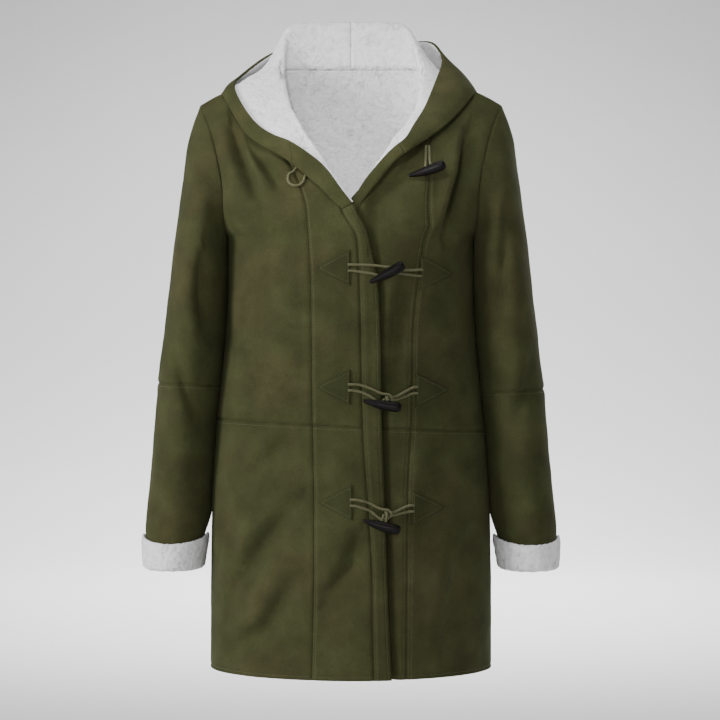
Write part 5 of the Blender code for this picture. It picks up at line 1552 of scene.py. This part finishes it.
def makeToggle(name, tilt):
    middle, axis = toggleMiddle(name, tilt), toggleAxis(tilt)
    deselectAll()
    bpy.ops.mesh.primitive_uv_sphere_add(segments=toggle["segments"], ring_count=toggle["rings"], radius=1.0)
    piece = bpy.context.active_object
    piece.name = piece.data.name = name + "_horn"
    places = readVertices(piece)
    low, high = toggle["profile"][0][0], toggle["profile"][-1][0]
    upright = Vector((0.0, 0.0, 1.0)) - axis * axis.z
    upright.normalize()
    marks, radii = zip(*toggle["profile"])
    for index, (x, y, z) in enumerate(places):
        height = max(min(z, 1.0), -1.0)
        # the sphere's rings crowd at both ends and at the holes
        along = low + (high - low) * (0.5 + 0.5 * height * (0.35 + 0.65 * abs(height)))
        around = math.hypot(x, y)
        radius = float(np.interp(along, marks, radii))
        side = (x / around, y / around) if around > 1e-6 else (0.0, 0.0)
        bow = toggle["bow"] * (1.0 - ((along - toggle["bowMiddle"]) / toggle["bowReach"]) ** 2)
        point = middle + axis * along + Vector((0.0, side[1] * radius, 0.0))
        point = point + upright * (side[0] * radius - bow + toggle["bowShift"])
        places[index] = np.array(point) * mm
    writeVertices(piece, places)
    editWhole(piece, bpy.ops.mesh.normals_make_consistent, inside=False)
    reach, back = axis * toggle["holeReach"], Vector((0.0, 10.0, 0.0))
    deep = Vector((0.0, -toggle["holeRadius"] - 0.3, 0.0))
    for start, end in ((middle + reach + deep, middle + reach + back),
                       (middle - reach + deep, middle - reach + back), (middle - reach, middle + reach)):
        run = end - start
        deselectAll()
        bpy.ops.mesh.primitive_cylinder_add(vertices=20, radius=toggle["holeRadius"] * mm,
                                            depth=run.length * mm, location=(start + end) * mm / 2.0,
                                            rotation=run.to_track_quat("Z", "Y").to_euler())
        drill = bpy.context.active_object
        applyModifier(piece, "BOOLEAN", {"operation": "DIFFERENCE", "object": drill})
        bpy.data.objects.remove(drill)
    piece.data.materials.clear()
    piece.data.materials.append(horn)
    selectOnly(piece)
    bpy.ops.object.shade_smooth_by_angle(angle=math.radians(50.0))
    dressPiece(piece, name)


# the cord's way in at one hole of the toggle and out at the other
def insideToggle(middle, tilt):
    axis, reach, chamfer = toggleAxis(tilt), toggle["holeReach"], toggle["holeChamfer"]
    stops = [(reach, 5.0), (reach, chamfer), (reach - chamfer, 0.0), (chamfer - reach, 0.0),
             (-reach, chamfer), (-reach, 5.0)]
    return [middle + along * axis + Vector((0.0, behind, 0.0)) for along, behind in stops]


# one strand from the loop's eye up to its hole in the toggle's back, turning round its neighbour
def strandToToggle(start, middle, tilt, sign, drop):
    half, reach = cord["strandHalf"], toggle["holeReach"]
    stops = [
        # share of the way to the toggle, how far behind its axis, turn of the pair, half spacing
        (0.0, drop, 0.0, half),
        (0.0, 12.2, 0.5, half),
        (0.15, 8.8, 1.0, half),
        (0.6, 8.5, 1.0, half + 0.8),
        (0.95, 7.9, 1.0, reach - 0.1),
    ]
    path = []
    for share, behind, turned, spread in stops:
        point = start.lerp(middle, share)
        offset = Vector((0.0, 0.0, 1.0)).lerp(toggleAxis(tilt), turned).normalized() * spread * sign
        path.append(Vector((point.x, middle.y + behind, point.z)) + offset)
    return path


def makeClosures():
    base, half = cord["radius"] + cord["clear"], cord["strandHalf"]
    strands, loopHalf = cord["patchStrands"], cord["loopHalf"]
    for number, closure in enumerate(closures, start=1):
        rightX, rightZ, leftX, leftZ, eyeX, eyeZ, tilt = closure
        makePatch(f"right_patch_{number}", rightX - 1.0, rightZ, -1)
        makePatch(f"left_patch_{number}", leftX + 1.0, leftZ, 1)
        middle = toggleMiddle(f"toggle_{number}", tilt)
        level = middle.y + toggle["behind"]

        # the loop's two strands part on the way from the patch to its eye
        def onRight(x, sign):
            share = max((x - rightX) / (eyeX - rightX), 0.0)
            spread = strands + (loopHalf - strands) * share
            return overBody(x, rightZ + (eyeZ - rightZ) * share ** 1.5 + sign * spread, base)

        places = [rightX + x for x in cord["onPatch"]] + [eyeX + cord["offCloth"]]
        loop = [onRight(x, 1.0) for x in places]
        loop += [Vector((eyeX + x, level, eyeZ + loopHalf * share)) for x, share in cord["eye"]]
        loop += [onRight(x, -1.0) for x in reversed(places)]
        makeCord(f"right_cord_{number}", curveThrough(loop, cord["curveSteps"]))
        eye = Vector((eyeX + 2.0, level, eyeZ))
        runs = []
        for sign in (1.0, -1.0):
            # from the left patch over the cloth to where it passes under the loop
            under = [
                overBody(leftX + 4.0, leftZ + sign * strands, base - 1.4),
                overBody(leftX - 1.2, leftZ + sign * strands, base),
                overBody(leftX - 10.0, leftZ + (eyeZ - leftZ) * 0.34 + sign * strands * 0.85, base),
                Vector((eyeX + 11.0, level + cord["layer"], eyeZ + sign * half)),
            ]
            rising = strandToToggle(eye, middle, tilt, sign, toggle["behind"] + 3.0)
            runs.append(curveThrough(under + rising, cord["curveSteps"]))
        makeCord(f"left_cord_{number}", runs[0] + insideToggle(middle, tilt) + runs[1][::-1])
        makeToggle(f"toggle_{number}", tilt)


def makeNeckTrims():
    base, half = cord["radius"] + cord["clear"], cord["strandHalf"]
    loop = [overBody(x, z, base) for x, z in neckTrim["loop"]]
    makeCord("neck_loop", curveThrough(loop, cord["curveSteps"]))
    tilt = neckTrim["tilt"]
    middle = toggleMiddle("neck_toggle", tilt)
    (topX, topZ), (bendX, bendZ) = neckTrim["cordTop"], neckTrim["cordBend"]
    runs = []
    for sign in (1.0, -1.0):
        aside = Vector((sign * half, 0.0, 0.0))
        hole = middle + toggleAxis(tilt) * toggle["holeReach"] * sign
        hung = [
            overBody(topX, topZ, base + 0.5) + aside,
            overBody(bendX, bendZ, base + 0.5) + aside * 1.4,
            hole + Vector((0.0, 9.0, 5.0)),
            hole + Vector((0.0, 8.4, 0.3)),
        ]
        runs.append(curveThrough(hung, cord["curveSteps"]))
    makeCord("neck_cord", runs[0] + insideToggle(middle, tilt) + runs[1][::-1])
    makeToggle("neck_toggle", tilt)


makeClosures()
makeNeckTrims()
print("patches, cords and toggles made")

stitch = {"length": 3.0, "gap": 0.9, "width": 0.75, "height": 0.45, "lift": 0.1}


# one stitch is modelled, and copied along every run
def makeStitches():
    deselectAll()
    bpy.ops.mesh.primitive_uv_sphere_add(segments=6, ring_count=4, radius=0.5)
    sample = bpy.context.active_object
    shape = readVertices(sample)
    corners = [tuple(face.vertices) for face in sample.data.polygons]
    bpy.data.objects.remove(sample)
    places, faces = [], []
    spacing = stitch["length"] + stitch["gap"]
    for points, normals in stitchRuns:
        lengths = runLengths(points)
        for mark in np.arange(spacing / 2.0, lengths[-1] - spacing / 2.0, spacing):
            at = [np.array([np.interp(value, lengths, points[:, axis]) for axis in range(3)])
                  for value in (mark - 1.0, mark, mark + 1.0)]
            out = unit(np.array([np.interp(mark, lengths, normals[:, axis]) for axis in range(3)]))
            along = unit(at[2] - at[0])
            side = unit(np.cross(out, along))
            start = len(places)
            for x, y, z in shape:
                up = out * (y * stitch["height"] + stitch["lift"])
                places.append(at[1] + side * x * stitch["width"] + up + along * z * stitch["length"])
            faces.extend(tuple(start + corner for corner in face) for face in corners)
    mesh = bpy.data.meshes.new("topstitching")
    mesh.from_pydata([tuple(place * mm) for place in places], [], faces)
    piece = bpy.data.objects.new("topstitching", mesh)
    bpy.context.scene.collection.objects.link(piece)
    editWhole(piece, bpy.ops.mesh.normals_make_consistent, inside=False)
    piece.data.materials.append(thread)
    piece.data.shade_smooth()
    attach(piece, "root")
    print("stitches", len(places) // len(shape))


makeStitches()
